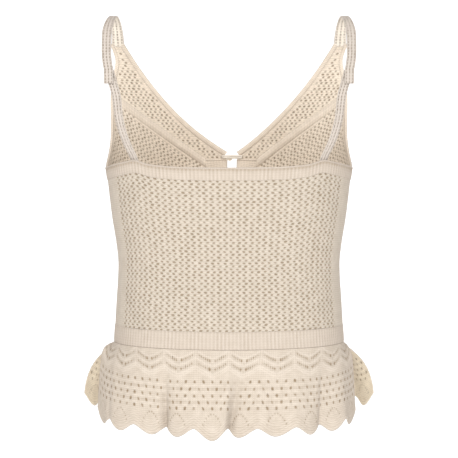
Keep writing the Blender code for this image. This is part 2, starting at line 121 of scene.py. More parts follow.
def waist_lift(angle, side):
    round_from_back = np.abs(angle) if side == BACK else np.pi - np.abs(angle)
    return FRONT_LIFT * np.sin(round_from_back / 2) ** LIFT_POWER


def raised(surface, plan, height, nudge):
    """Points of a surface at plan places, moved along its normal: the cross product of its two slopes."""
    a, b = plan[..., 0], plan[..., 1]
    along = surface(a + nudge, b) - surface(a - nudge, b)
    up = surface(a, b + nudge) - surface(a, b - nudge)
    normal = np.cross(along, up)
    normal /= np.maximum(np.linalg.norm(normal, axis=-1, keepdims=True), 1e-9)
    return surface(a, b) + normal * height[..., None]


def finish_group():
    """Node group for knitted cotton. Rows of V stitches run over the piece's own map, and fibres and soft
    mottling over the object. It puts out a colour and a height. The colour is the bright one on the outer
    face and a lighter one on the inner face, painted light standing in for light inside the garment. It runs
    towards the shade colour by painted shade in hollows and between the stitch legs, and by the random
    mottling and fibres."""
    group = bpy.data.node_groups.new("knit_face", "ShaderNodeTree")
    for label in ("Bright", "Shade and Mottle", "Inner Lightened"):
        group.interface.new_socket(label, in_out="INPUT", socket_type="NodeSocketColor")
    for label in ("Wale", "Course", "Contrast"):
        group.interface.new_socket(label, in_out="INPUT", socket_type="NodeSocketFloat")
    group.interface.new_socket("Color", in_out="OUTPUT", socket_type="NodeSocketColor")
    group.interface.new_socket("Height", in_out="OUTPUT", socket_type="NodeSocketFloat")
    nodes, links = group.nodes, group.links
    given, result = nodes.new("NodeGroupInput"), nodes.new("NodeGroupOutput")

    def maths(operation, first, second=0.0, third=0.0):
        node = nodes.new("ShaderNodeMath")
        node.operation = operation
        for socket, value in zip(node.inputs, (first, second, third)):
            if isinstance(value, float):
                socket.default_value = value
            else:
                links.new(value, socket)
        return node.outputs[0]

    def noise(vector, scale, detail):
        node = nodes.new("ShaderNodeTexNoise")
        node.inputs["Scale"].default_value = scale
        node.inputs["Detail"].default_value = detail
        links.new(vector, node.inputs["Vector"])
        return node.outputs["Fac"]

    def mark(label):
        node = nodes.new("ShaderNodeAttribute")
        node.attribute_name = label
        return node.outputs["Fac"]

    def mix(factor, first, second):
        node = nodes.new("ShaderNodeMix")
        node.data_type = "RGBA"
        for socket, value in zip((node.inputs[0], node.inputs[6], node.inputs[7]), (factor, first, second)):
            links.new(value, socket)
        return node.outputs[2]

    map_node, place = nodes.new("ShaderNodeUVMap"), nodes.new("ShaderNodeTexCoord")
    map_node.uv_map = "cloth"
    across = nodes.new("ShaderNodeSeparateXYZ")
    links.new(map_node.outputs[0], across.inputs[0])
    wale = maths("MULTIPLY", across.outputs[0], given.outputs["Wale"])
    course = maths("MULTIPLY", across.outputs[1], given.outputs["Course"])
    leg = maths("PINGPONG", wale, 0.5)
    strand = maths("ABSOLUTE", maths("SINE", maths("MULTIPLY", wale, 2 * np.pi)))
    row = maths("MULTIPLY_ADD", leg, -0.9, course)
    twist = maths("MULTIPLY_ADD", maths("SINE", maths("MULTIPLY", row, 2 * np.pi)), 0.5, 0.5)
    stitch = maths("MULTIPLY", maths("POWER", strand, 0.6), twist)
    fibre = noise(place.outputs["Object"], 1500.0, 3.0)
    mottle = noise(place.outputs["Object"], 120.0, 3.0)
    height = maths("MULTIPLY_ADD", fibre, 0.45, maths("MULTIPLY", stitch, 0.55))
    # Painted shade between the stitch legs, as strong as the Contrast input.
    leg_shade = maths("MULTIPLY", maths("SUBTRACT", 0.35, stitch), given.outputs["Contrast"])
    shade = maths("MULTIPLY_ADD", fibre, 0.3, leg_shade)
    uneven = maths("MULTIPLY_ADD", mottle, 0.4, -0.27)
    # Painted shade: the mark of hollows, a little weaker on the inner face, pulls the colour to the shade
    # colour.
    depth = maths("MULTIPLY", mark("hollow_shade"), maths("MULTIPLY_ADD", mark("inside"), -0.12, 0.85))
    shade_and_mottle = maths("ADD", maths("ADD", depth, shade), uneven)
    clamp = nodes.new("ShaderNodeClamp")
    links.new(shade_and_mottle, clamp.inputs[0])
    # Painted light: the inner face takes the lighter inner colour.
    lit = mix(mark("inside"), given.outputs["Bright"], given.outputs["Inner Lightened"])
    links.new(mix(clamp.outputs[0], lit, given.outputs["Shade and Mottle"]), result.inputs["Color"])
    links.new(height, result.inputs["Height"])
    return group


KNIT_FACE = finish_group()


def yarn(name, bright, shade_and_mottle, inner_lightened, wale, course, contrast, bump):
    """Cotton yarn finish: the knit group's colour and height on a rough, slightly fuzzy surface, with
    painted shade darkening the colour where the surface turns away from the camera.
    """
    made = bpy.data.materials.new(f"{name}_finish")
    made.use_nodes = True
    nodes, links = made.node_tree.nodes, made.node_tree.links
    shader = nodes["Principled BSDF"]
    shader.inputs["Roughness"].default_value = 0.88
    shader.inputs["Specular IOR Level"].default_value = 0.15
    shader.inputs["Sheen Weight"].default_value = 0.05
    shader.inputs["Sheen Roughness"].default_value = 0.45
    face = nodes.new("ShaderNodeGroup")
    face.node_tree = KNIT_FACE
    for label, value in (("Bright", bright), ("Shade and Mottle", shade_and_mottle), ("Inner Lightened", inner_lightened)):
        face.inputs[label].default_value = (*value, 1.0)
    for label, value in (("Wale", wale), ("Course", course), ("Contrast", contrast)):
        face.inputs[label].default_value = value
    relief = nodes.new("ShaderNodeBump")
    relief.inputs["Strength"].default_value = bump
    relief.inputs["Distance"].default_value = 0.0005
    links.new(face.outputs["Height"], relief.inputs["Height"])
    links.new(relief.outputs["Normal"], shader.inputs["Normal"])
    # Painted shade: the colour is multiplied darker at grazing view angles, for the falloff towards the
    # sides.
    grazing, grazing_shade = nodes.new("ShaderNodeLayerWeight"), nodes.new("ShaderNodeMix")
    grazing.inputs["Blend"].default_value = 0.5
    grazing_shade.data_type, grazing_shade.blend_type = "RGBA", "MULTIPLY"
    grazing_shade.inputs[7].default_value = (0.72, 0.71, 0.71, 1.0)
    links.new(grazing.outputs["Facing"], grazing_shade.inputs[0])
    links.new(face.outputs["Color"], grazing_shade.inputs[6])
    links.new(grazing_shade.outputs[2], shader.inputs["Base Color"])
    return made


# Knit colours: bright for the outer face; a shade colour, which painted shade and random mottling pull
# towards; and an inner colour painted lighter than the bright one, as painted light inside the garment.
INNER_LIGHTENED = (0.875, 0.765, 0.64)
yarn("openwork", (0.635, 0.563, 0.479), (0.32, 0.255, 0.18), INNER_LIGHTENED, 300.0, 400.0, 0.3, 0.6)


def knitted(name, points, faces, flat, marks, slot_name, nodes):
    """Mesh of a piece from points in millimetres. Points at one place are welded, and empty faces and points
    that no face uses are left out."""
    _, first, index = np.unique(np.round(points * 2000).astype(np.int64), axis=0, return_index=True,
                                return_inverse=True)
    used, faces = np.unique(index.reshape(-1)[faces], return_inverse=True)
    faces, first = faces.reshape(-1, 4), first[used]
    whole = (faces != np.roll(faces, 1, axis=1)).all(axis=1)
    whole &= (faces[:, 0] != faces[:, 2]) & (faces[:, 1] != faces[:, 3])
    bent = [list(dict.fromkeys(face)) for face in faces[~whole].tolist()]
    faces = faces[whole].tolist() + [face for face in bent if len(face) == 3]
    mesh = bpy.data.meshes.new(name)
    mesh.from_pydata((points[first] * MM).tolist(), [], faces)
    mesh.validate()
    mesh.shade_smooth()
    loops = np.empty(len(mesh.loops), np.int32)
    mesh.loops.foreach_get("vertex_index", loops)
    places = (flat[first] * MM)[loops].astype(np.float32)
    mesh.uv_layers.new(name="cloth").data.foreach_set("uv", places.ravel())
    for label, values in marks.items():
        mark = mesh.attributes.new(label, "FLOAT", "POINT")
        mark.data.foreach_set("value", values[first].astype(np.float32))
    mesh.materials.append(bpy.data.materials[f"{slot_name}_finish"])
    piece = bpy.data.objects.new(name, mesh)
    bpy.context.collection.objects.link(piece)
    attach(piece, "root")
    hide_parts(*nodes)
    return piece


CELL_EDGE = np.array([(0, 0), (1, 0), (2, 0), (3, 0), (3, 1.5), (3, 3), (2, 3), (1, 3), (0, 3),
                      (0, 1.5)]) / 3
CELL_TURN = np.radians(np.array([210, 250, 290, 330, 0, 30, 70, 110, 150, 180]))
LEAN, ROUNDING = 1 / 3, 0.8
FLOOR_SHARE, SHOULDER_SHARE = 0.85, 0.3
PLAIN_RISE = 0.5


def net(columns, rows, hole, crossing, seed, plain, lean):
    """Openwork laid out flat, in cells. Each cell has four rings of ten points: the dimple's centre, its
    floor, which is an ellipse, the shoulder round it and the edge that it shares, high beside the dimple and
    as low as the crossing between rows. A row leans by a share of a cell, and the next row leans back.
    Returns plan places, rises, which on a dimple's floor are below nought where its painted shade is paler,
    and which cells are plain."""
    k, i = np.meshgrid(np.arange(rows), np.arange(-1, columns + 1), indexing="ij")
    k, i = k.ravel(), i.ravel()
    chance = np.random.default_rng(seed)
    size = 1 + chance.uniform(-0.24, 0.2, (len(i), 1))
    centre = 0.5 + chance.uniform(-0.06, 0.06, (len(i), 1, 2)) + np.zeros((1, len(CELL_TURN), 1))
    way = np.where(k % 2 == 0, lean, -lean)[:, None]
    high = hole[1] * size * np.sin(CELL_TURN)
    oval_ring = np.stack([hole[0] * size * np.cos(CELL_TURN) - ROUNDING * way * high, high], -1)
    shoulder = centre + oval_ring + SHOULDER_SHARE * (CELL_EDGE - centre - oval_ring)
    edge = np.broadcast_to(CELL_EDGE, centre.shape)
    rings = np.stack([centre, centre + FLOOR_SHARE * oval_ring, shoulder, edge], 1)
    u = rings[..., 0] + i[:, None, None] + way[..., None] * rings[..., 1]
    v = rings[..., 1] + k[:, None, None]
    proud = 1 + chance.uniform(-0.35, 0.2, (len(i), 1))
    shoulder_rise = (crossing + 0.15 + (0.8 - crossing) * np.cos(CELL_TURN) ** 2) * proud
    edge_rise = np.where(CELL_EDGE[:, 1] == 0.5, 1.0, crossing) + 0 * proud
    if plain:
        edge_rise[(u[:, 3] < plain - 0.25) | (u[:, 3] > columns - plain + 0.25)] = PLAIN_RISE
    pale = -chance.uniform(0, 0.45, (len(i), 1)) + 0 * shoulder_rise
    rise = np.stack([pale, pale, shoulder_rise, edge_rise], 1)
    bare = (i < plain) | (i >= columns - plain)
    rise[bare, :3] = PLAIN_RISE
    return np.stack([u, v], -1), rise, bare


def net_faces(index, rings, outer, flattened=None):
    """Quads between each two rings of every cell, facing out, or in where they are the cloth's inner face,
    without those that the trimmed edge has flattened."""
    index = index[:, rings]
    after = np.roll(index, -1, axis=2)
    quads = np.stack([index[:, :-1], index[:, 1:], after[:, 1:], after[:, :-1]], -1)
    quads = quads.reshape(-1, 4) if flattened is None else quads[~flattened]
    return quads if outer else quads[:, ::-1]


EVERY_RING, SHOULDERS, EDGES_ONLY = [0, 1, 2, 3], [0, 2, 3], [0, 3]
CELL_NUDGE = 0.05
FLOOR, FILM = 0.05, 0.12


def openwork(name, surface, columns, rows, hole, cell, seed, slot_name, nodes, outer_rings=EVERY_RING,
             inner_rings=EDGES_ONLY, trim=None, wall=(0.3, 0.75), way=1, plain=0, crossing=0.15, lean=LEAN):
    """Openwork cloth on a surface, as one closed skin. Stitches stand out on both faces by wall[0] + wall[1]
    rise, the dimples go down to a thin film, and at the edge both faces come together. Cells that a trimmed
    edge cuts have no dimple. Where the way is -1, as on the mirrored side, the other face is the outside."""
    plan, rise, bare = net(columns, rows, hole, crossing, seed, plain, lean)
    if trim is None:
        inside = np.ones(plan.shape[:-1], bool)
        clipped = np.clip(plan, 0, (columns, rows))
    else:
        clipped, inside = trim(plan)
    kept = (np.abs(clipped - plan).max(axis=-1) < 1e-6).any(axis=(1, 2))
    plan, clipped, rise, inside, bare = plan[kept], clipped[kept], rise[kept], inside[kept], bare[kept]
    on_edge = (np.abs(clipped - plan).max(axis=-1) > 1e-6) | ~inside
    if trim is None:
        on_edge |= ((clipped < 1e-6) | (clipped > np.array((columns, rows)) - 1e-6)).any(axis=-1)
    border = on_edge.any(axis=(1, 2))
    if trim is not None:
        rise[border, :3] = np.maximum(rise[border, :3], PLAIN_RISE)
    level = np.where(rise > 0, wall[0] + wall[1] * rise, FLOOR)
    outer = raised(surface, clipped, way * np.where(on_edge, 0, level), CELL_NUDGE)
    inner = raised(surface, clipped, -way * np.where(on_edge, 0, FILM + 0.8 * level), CELL_NUDGE)
    index = np.arange(rise.size).reshape(rise.shape)
    flat_side = on_edge & np.roll(on_edge, -1, axis=2)
    flattened = (flat_side[:, :-1] & flat_side[:, 1:])[border]
    open_cells, bare_cells = index[~border & ~bare], index[~border & bare]
    faces = np.vstack([
        net_faces(index[border], EVERY_RING, way > 0, flattened),
        net_faces(index[border] + index.size, EVERY_RING, way < 0, flattened),
        net_faces(open_cells, outer_rings, way > 0),
        net_faces(open_cells + index.size, inner_rings, way < 0),
        net_faces(bare_cells, EDGES_ONLY, way > 0),
        net_faces(bare_cells + index.size, EDGES_ONLY, way < 0),
    ])
    points = np.vstack([outer.reshape(-1, 3), inner.reshape(-1, 3)])
    flat = np.tile(clipped.reshape(-1, 2), (2, 1)) * cell
    # Painted shade: dimples are dark, paler by their floor's value, and stitches darken as their rise drops,
    # so the crossings between rows and the plain side cells are a little darker.
    hollow_shade = np.where(rise > 0, 0.42 - 0.42 * rise, 1.25 + rise)
    marks = {"hollow_shade": np.tile(hollow_shade.ravel(), 2), "inside": np.repeat([0.0, 1.0], index.size)}
    return knitted(name, points, faces, flat, marks, slot_name, nodes)


CREASES_BACK = (
    # x, z, reach along, reach across, lean in degrees, depth
    (118.0, -372.0, 46.0, 9.0, 62.0, -1.6),
    (-120.0, -366.0, 52.0, 10.0, -58.0, -1.8),
    (96.0, -322.0, 38.0, 12.0, 24.0, -1.2),
    (-88.0, -300.0, 44.0, 12.0, -18.0, -1.1),
    (20.0, -352.0, 60.0, 16.0, 8.0, 0.9),
    (-60.0, -232.0, 50.0, 12.0, 14.0, 0.8),
    (128.0, -226.0, 34.0, 9.0, -50.0, -1.3),
    (-130.0, -228.0, 36.0, 9.0, 52.0, -1.4),
)
CREASES_FRONT = (
    # x, z, reach along, reach across, lean in degrees, depth
    (-112.0, -362.0, 48.0, 10.0, 56.0, -1.7),
    (116.0, -356.0, 50.0, 10.0, -60.0, -1.5),
    (-70.0, -252.0, 42.0, 9.0, -30.0, -1.5),
    (68.0, -250.0, 46.0, 9.0, 34.0, -1.4),
    (10.0, -300.0, 56.0, 16.0, 6.0, 0.9),
    (0.0, -350.0, 62.0, 15.0, -7.0, -0.9),
)


def creased(points, creases):
    """Moves points out or in by soft strokes: a long flat bell along each crease and a narrow one across."""
    x, z = points[..., 0], points[..., 2]
    out = 0
    for at_x, at_z, long, wide, lean, depth in creases:
        turn = np.radians(lean)
        along = (x - at_x) * np.cos(turn) + (z - at_z) * np.sin(turn)
        across = (z - at_z) * np.cos(turn) - (x - at_x) * np.sin(turn)
        out = out + depth * np.exp(-((along / long) ** 2) - (across / wide) ** 2)
    y = points[..., 1]
    return np.stack([x, y + np.sign(y) * out * np.minimum(np.abs(y) / 20, 1), z], -1)


def body_surface(side, columns, rows, low, high, creases):
    """Half of the body tube: u runs round it and v up it, from one seam to the other."""
    half_width, depth = section(np.array(UNDERBUST), side)

    def surface(u, v):
        angle = even_angle((1 - 2 * u / columns) * side, half_width, depth)
        angle = np.clip(angle, -SIDE_ANGLE, SIDE_ANGLE)
        z = low(angle) + (high(angle) - low(angle)) * v / rows
        return creased(figure(angle, z, side), creases)

    return surface


def waist_seam(side):
    return lambda angle: WAIST_TOP + waist_lift(angle, side)


BACK_TOP = (
    # x, z
    (0.0, -192.0),
    (40.0, -191.6),
    (77.0, -189.8),
    (98.0, -187.0),
    (115.0, -182.0),
    (128.0, -184.0),
    (154.0, -189.0),
)
BACK_BAND_WIDTH = 14.4


def back_top(angle):
    x, _ = oval(angle, *section(np.array(ARMHOLE_LOW), BACK))
    return through(BACK_TOP, 1, np.abs(x))


def back_seam(angle):
    return back_top(angle) - BACK_BAND_WIDTH


BODY_CELL, BODY_HOLE, PLAIN_COLUMNS = (7.9, 3.5), (0.2, 0.31), 6
BACK_CELLS = 48, 52
surface = body_surface(BACK, *BACK_CELLS, waist_seam(BACK), back_seam, CREASES_BACK)
back_body = openwork("back_body", surface, *BACK_CELLS, BODY_HOLE, BODY_CELL, 11, "openwork", ["back_panel"],
                     plain=PLAIN_COLUMNS)


# Front body, openwork knit
# The same knit from the waistband up to the seam under the bust, a little wider and shorter than the back.
FRONT_CELLS = 49, 44
surface = body_surface(FRONT, *FRONT_CELLS, waist_seam(FRONT), lambda angle: UNDERBUST + 0 * angle,
                       CREASES_FRONT)
front_body = openwork("front_body", surface, *FRONT_CELLS, BODY_HOLE, BODY_CELL, 12, "openwork",
                      ["front_panel"], plain=PLAIN_COLUMNS)


# Waistband and back band, plain ribbed knit
# Firm bands with fine upright ribs. The waistband is sewn between the body and the peplum, and the back
# band closes the top of the back with a narrow rolled edge.
BAND_HALF, EDGE_HALF, LAP, LOW_LAP = 1.1, 1.0, 0.9, 0.8
RIB_STEPS = 5
SHARE_NUDGE = 0.002
BAND_PROFILE = np.array([
    # share across, share of the half thickness, share of the rib's height
    (0.0, 0.0, 0.0),
    (0.03, 0.75, 0.2),
    (0.1, 0.95, 0.8),
    (0.3, 1.0, 1.0),
    (0.5, 1.0, 1.0),
    (0.7, 1.0, 1.0),
    (0.9, 0.95, 0.8),
    (0.97, 0.75, 0.2),
    (1.0, 0.0, 0.0),
    (0.95, -0.9, -0.3),
    (0.5, -1.0, -0.5),
    (0.05, -0.9, -0.3),
])


def wrapped(rows, columns):
    """Quads of a grid of points whose rows are closed rings."""
    index = np.arange(rows * columns).reshape(rows, columns)
    after = np.roll(index, -1, axis=1)
    return np.stack([index[:-1], index[1:], after[1:], after[:-1]], -1).reshape(-1, 4)


def ribbed(name, surface, length, width, pitch, half, rib, nodes, way=1, ridge=0.0, shadow=0.0):
    """Band with ribs across it: the closed profile carried along the surface, its faces waving as a rounded
    cosine with one wave for each rib, with painted shade in the troughs between ribs. The surface takes
    shares along and across the band. The ridge thickens its middle, and the shadow is painted shade on the
    yarn close under the upper edge. The inner face is painted lighter."""
    ribs = max(int(round(length / pitch)), 3)
    share = np.linspace(0, 1, ribs * RIB_STEPS + 1)
    wave = np.cos(2 * np.pi * ribs * share)
    wave = np.sign(wave) * np.abs(wave) ** 0.7 * (0.75 + 0.25 * np.cos(length * share / 4.7))
    across, thick, ribbing = BAND_PROFILE.T
    height = thick * (half + ridge * np.exp(-(((across - 0.5) / 0.2) ** 2))) + rib * ribbing * wave[:, None]
    plan = np.stack(np.broadcast_arrays(share[:, None], across), -1)

    def held(a, b):
        return surface(np.clip(a, 0, 1), np.clip(b, 0, 1))

    points = raised(held, plan, way * height, SHARE_NUDGE)
    stations, corners = height.shape
    start = np.arange(corners)
    end = start + (stations - 1) * corners
    caps = [[start[j - 1], start[j], start[-j], start[1 - j]] for j in range(1, corners // 2 + 1)]
    caps += [[end[1 - j], end[-j], end[j], end[j - 1]] for j in range(1, corners // 2 + 1)]
    faces = np.vstack([wrapped(stations, corners), np.array(caps)])[:, ::way]
    flat = plan * (length, width)
    marks = {
        "hollow_shade": (0.3 - 0.3 * wave[:, None] + shadow * np.exp(-(((across - 0.85) / 0.12) ** 2))).ravel(),
        "inside": ((thick < -0.5) + 0 * height).ravel(),
    }
    return knitted(name, points.reshape(-1, 3), faces, flat.reshape(-1, 2), marks, "plain_knit", nodes)


def tube_band(side, low, high):
    """Half of a band round the body: shares run round it and up it."""
    half_width, depth = section(np.array(WAIST_TOP), side)

    def surface(a, b):
        angle = np.clip(even_angle((1 - 2 * a) * side, half_width, depth), -SIDE_ANGLE, SIDE_ANGLE)
        return figure(angle, low(angle) + (high(angle) - low(angle)) * b, side)

    return surface


RIB_PITCH = 4.4
# Inner colour painted lighter than the bright one, as painted light.
yarn("plain_knit", (0.595, 0.52, 0.446), (0.4, 0.325, 0.25), (0.86, 0.755, 0.635), 1 / (RIB_PITCH * MM),
     320.0, 0.2, 0.5)
for word, side, length in (("back", BACK, 372.0), ("front", FRONT, 378.0)):
    surface = tube_band(side, lambda angle, s=side: WAIST_LOW - LOW_LAP + waist_lift(angle, s),
                        lambda angle, s=side: WAIST_TOP + LAP + waist_lift(angle, s))
    waist = ribbed(f"{word}_waist", surface, length, 21.0, RIB_PITCH, BAND_HALF, 0.26, [f"waistband_{word}"])

surface = tube_band(BACK, lambda angle: back_seam(angle) - LAP, back_top)
upper_band = ribbed("upper_band", surface, 390.0, 16.0, RIB_PITCH, BAND_HALF, 0.24, ["back_band"],
                    shadow=0.8)


# Rolled edge of the back band
# The last rows of the band curl outwards into a narrow bright roll, and pass over the ends of the straps.
ROLL_RADIUS, ROLL_OUT, ROLL_DOWN = 1.15, 0.35, 0.4


def roll(name, route, radius, slot_name, node, twist=1.0, inside=0.0, sides=10):
    """Round cord carried along a route: a circle square to it, pinched a little where each stitch binds it,
    with painted shade in the pinches. With inside at 1 it takes the knit's inner colour, which is painted
    lighter to offset the shade it lies in."""
    ahead = np.gradient(route, axis=0)
    ahead /= np.linalg.norm(ahead, axis=1, keepdims=True)
    beside = np.cross(ahead, (0.0, 0.3, 1.0))
    beside /= np.linalg.norm(beside, axis=1, keepdims=True)
    above = np.cross(beside, ahead)
    run = np.concatenate([[0], np.cumsum(np.linalg.norm(np.diff(route, axis=0), axis=1))])
    turn = np.linspace(0, 2 * np.pi, sides, endpoint=False)
    pinch = 1 + 0.12 * np.cos(2 * np.pi * run[:, None] / 2.4 + twist * turn)
    pinch[[0, -1]] = 0
    ring = beside[:, None] * np.cos(turn)[:, None] + above[:, None] * np.sin(turn)[:, None]
    points = route[:, None] + ring * (radius * pinch)[..., None]
    faces = wrapped(len(route), sides)
    flat = np.stack([np.repeat(run, sides), np.tile(turn * radius, len(route))], -1)
    hollow_shade = (0.2 - 1.5 * (pinch - 1)).ravel().clip(0, 1)
    marks = {"hollow_shade": hollow_shade, "inside": np.full(hollow_shade.shape, inside)}
    return knitted(name, points.reshape(-1, 3), faces, flat, marks, slot_name, [node])


angle = even_angle(np.linspace(1, -1, 620), *section(np.array(ARMHOLE_LOW), BACK))
angle = np.clip(angle, -SIDE_ANGLE, SIDE_ANGLE)
route = figure(angle, back_top(angle) - ROLL_DOWN, BACK)
outward = route * (1, 1, 0) / np.linalg.norm(route[:, :2], axis=1, keepdims=True)
roll("band_roll", route + ROLL_OUT * outward, ROLL_RADIUS, "plain_knit", "back_band")


# Front top: neck edges, armhole edges and slanted bands
# Narrow ribbed edges are knitted onto the V neck and the armholes. A raised plain band runs slantwise from
# each armhole to the centre, between the yoke and the cup.
FRONT_TOP, KEYHOLE_HALF = -30.0, 6.0
NECK_START, NECK_PULL, NECK_END, NECK_WIDTH = (133.0, -30.0), (80.2, -117.0), (6.0, -164.0), 6.0
ARMHOLE = (
    # z, degrees
    (-30.0, 41.8),
    (-51.0, 43.2),
    (-66.0, 47.0),
    (-94.0, 55.4),
    (-110.0, 59.8),
    (-128.0, 64.5),
    (-155.0, 71.5),
    (-175.0, 80.0),
    (-189.0, 90.0),
)
ARMHOLE_WIDTH = 4.0
SLANT_HIGH_Z, SLANT_LOW_Z, SLANT_ANGLE, SLANT_WIDTH = -94.0, -178.2, np.radians(37.5), 8.0
PLAIN_TOP_HALF, PLAIN_LOW_HALF = 33.5, 26.0


def angle_at(x, z):
    """Angle round from the centre front at which the front's oval reaches x, by Newton's steps."""
    half_width, _ = section(z, FRONT)
    share = np.clip(np.asarray(x) / half_width, -1, 1)
    angle = np.arcsin(share)
    for _ in range(6):
        wide = (np.sin(angle) + SQUARENESS * np.sin(3 * angle)) / (1 - SQUARENESS)
        slope = (np.cos(angle) + 3 * SQUARENESS * np.cos(3 * angle)) / (1 - SQUARENESS)
        angle = angle - (wide - share) / np.maximum(slope, 0.05)
    return angle


def inset(curve, distance):
    """Curve of angles and heights moved sideways on the cloth by a distance."""
    angle, z = curve
    half_width, depth = section(z, FRONT)
    run = np.hypot(half_width * np.cos(angle), depth * np.sin(angle))
    along, up = np.gradient(angle) * run, np.gradient(z)
    length = np.hypot(along, up)
    return angle - distance * up / length / run, z + distance * along / length


def neck_curve(t):
    weights = np.stack([(1 - t) ** 2, 2 * t * (1 - t), t**2])
    x, z = (weights.T @ np.array([NECK_START, NECK_PULL, NECK_END])).T
    return angle_at(x, z), z


def armhole_curve(z):
    return np.radians(through(ARMHOLE, 1, z)), z


def straight(start, end, count):
    x, z = (np.linspace(a, b, count) for a, b in zip(start, end))
    return angle_at(x, z), z


def plain_side_at(z):
    share = np.clip((KEYHOLE_TOP - z) / (KEYHOLE_TOP - UNDERBUST), 0, 1)
    return PLAIN_TOP_HALF + (PLAIN_LOW_HALF - PLAIN_TOP_HALF) * share


def slant_line(offset, count=40):
    """Line of the slanted band moved square to it, from the armhole edge down to the keyhole piece."""
    rise = offset / np.cos(SLANT_ANGLE)
    start_angle, start_z = inset(armhole_curve(SLANT_HIGH_Z + rise + np.linspace(1, -1, 3)), -ARMHOLE_WIDTH)
    start_x = oval(start_angle[1], *section(start_z[1], FRONT))[0]
    end_x = plain_side_at(SLANT_LOW_Z + rise)
    end_z = SLANT_LOW_Z + rise + (end_x - PLAIN_TOP_HALF) * np.tan(SLANT_ANGLE)
    return straight((start_x, start_z[1]), (end_x, end_z), count)


def strip(first, second, way):
    """Surface between two curves on the front, for the wearer's left (way 1) or right (way -1)."""
    share = np.linspace(0, 1, len(first[0]))

    def surface(a, b):
        sides = [(np.interp(a, share, c), np.interp(a, share, d)) for c, d in zip(first, second)]
        angle, z = (c + (d - c) * b for c, d in sides)
        return figure(way * angle, z, FRONT)

    return surface


neck = neck_curve(np.linspace(0, 1, 80))
armhole = armhole_curve(np.linspace(FRONT_TOP, ARMHOLE_LOW, 80))
EDGES = (
    # name, node, first and second line, length, width, pitch and height of the ribs, ridge
    ("neck_rib", "neck_edge", neck, inset(neck, NECK_WIDTH + LAP), 206.0, 6.9, 2.3, 0.22, 0.3),
    ("arm_rib", "armhole_edge", inset(armhole, -ARMHOLE_WIDTH - LAP), armhole, 172.0, 4.9, 2.3, 0.2, 0.3),
    ("slant_rib", "slant_band", slant_line(SLANT_WIDTH / 2 + LAP), slant_line(-SLANT_WIDTH / 2 - LAP),
     148.0, 9.8, 2.6, 0.3, 0.7),
)
for hand, way in (("left", 1), ("right", -1)):
    for name, node, first, second, length, width, pitch, rib, ridge in EDGES:
        edge = ribbed(f"{name}_{hand}", strip(first, second, way), length, width, pitch, EDGE_HALF, rib,
                      [f"{node}_{hand}"], way, ridge)


# Yokes and cups, openwork knit
# The yoke's rows run level and the cup's rows run along the slanted band, so the holes turn at the seam.
# Both are knitted finer than the body.
CHART_Z = -160.0
chart_angle = np.linspace(0, np.pi / 2, 400)
chart_steps = np.hypot(*np.diff(oval(chart_angle, *section(np.array(CHART_Z), FRONT))))
chart_run = np.concatenate([[0], np.cumsum(chart_steps)])
FINE_CELL, FINE_HOLE = (5.9, 3.6), (0.22, 0.32)


def charted(curve):
    """Curve of angles and heights as distances round the figure, and heights, laid flat."""
    return np.stack([np.interp(curve[0], chart_angle, chart_run), curve[1]], -1)


def trimmed_to(outline, to_chart, to_plan):
    """Trimming of plan places to a closed outline on the chart: the ones outside go to the nearest point of
    the outline. A place is inside where a line from it crosses the outline an odd number of times."""
    start, end = outline, np.roll(outline, -1, axis=0)
    side = end - start

    def trim(plan):
        p = to_chart(plan).reshape(-1, 1, 2)
        crosses = (start[:, 1] > p[..., 1]) != (end[:, 1] > p[..., 1])
        rise = np.where(side[:, 1] == 0, 1e-9, side[:, 1])
        x_at = start[:, 0] + (p[..., 1] - start[:, 1]) * side[:, 0] / rise
        inside = (crosses & (p[..., 0] < x_at)).sum(axis=1) % 2 == 1
        share = np.clip(((p - start) * side).sum(-1) / np.maximum((side**2).sum(-1), 1e-9), 0, 1)
        nearest = start + share[..., None] * side
        away = np.linalg.norm(p - nearest, axis=-1)
        best = nearest[np.arange(len(p)), away.argmin(axis=1)]
        moved = np.where(inside[:, None], p[:, 0], best).reshape(plan.shape)
        inside = inside.reshape(plan.shape[:-1])
        return np.where(inside[..., None], plan, to_plan(moved)), inside

    return trim


def front_piece(name, outline, turn, way, seed, node):
    """Openwork inside an outline on the front chart, with its rows turned by an angle."""
    cell = np.array(FINE_CELL)
    rotation = np.array([(np.cos(turn), np.sin(turn)), (-np.sin(turn), np.cos(turn))])
    reach = np.linalg.norm(np.ptp(outline, axis=0)) / 2
    columns, rows = (int(np.ceil(2 * reach / c)) for c in cell)
    middle = (outline.min(axis=0) + outline.max(axis=0)) / 2
    corner = middle - (np.array((columns, rows)) / 2 * cell) @ rotation
    trim = trimmed_to(outline, lambda plan: (plan * cell) @ rotation + corner,
                      lambda place: ((place - corner) @ rotation.T) / cell)

    def surface(u, v):
        place = (np.stack([u, v], -1) * cell) @ rotation + corner
        angle = np.interp(place[..., 0], chart_run, chart_angle)
        return figure(way * angle, place[..., 1], FRONT)

    return openwork(name, surface, columns, rows, FINE_HOLE, cell, seed, "openwork", [node],
                    SHOULDERS, EVERY_RING, trim, (0.3, 0.65), way)


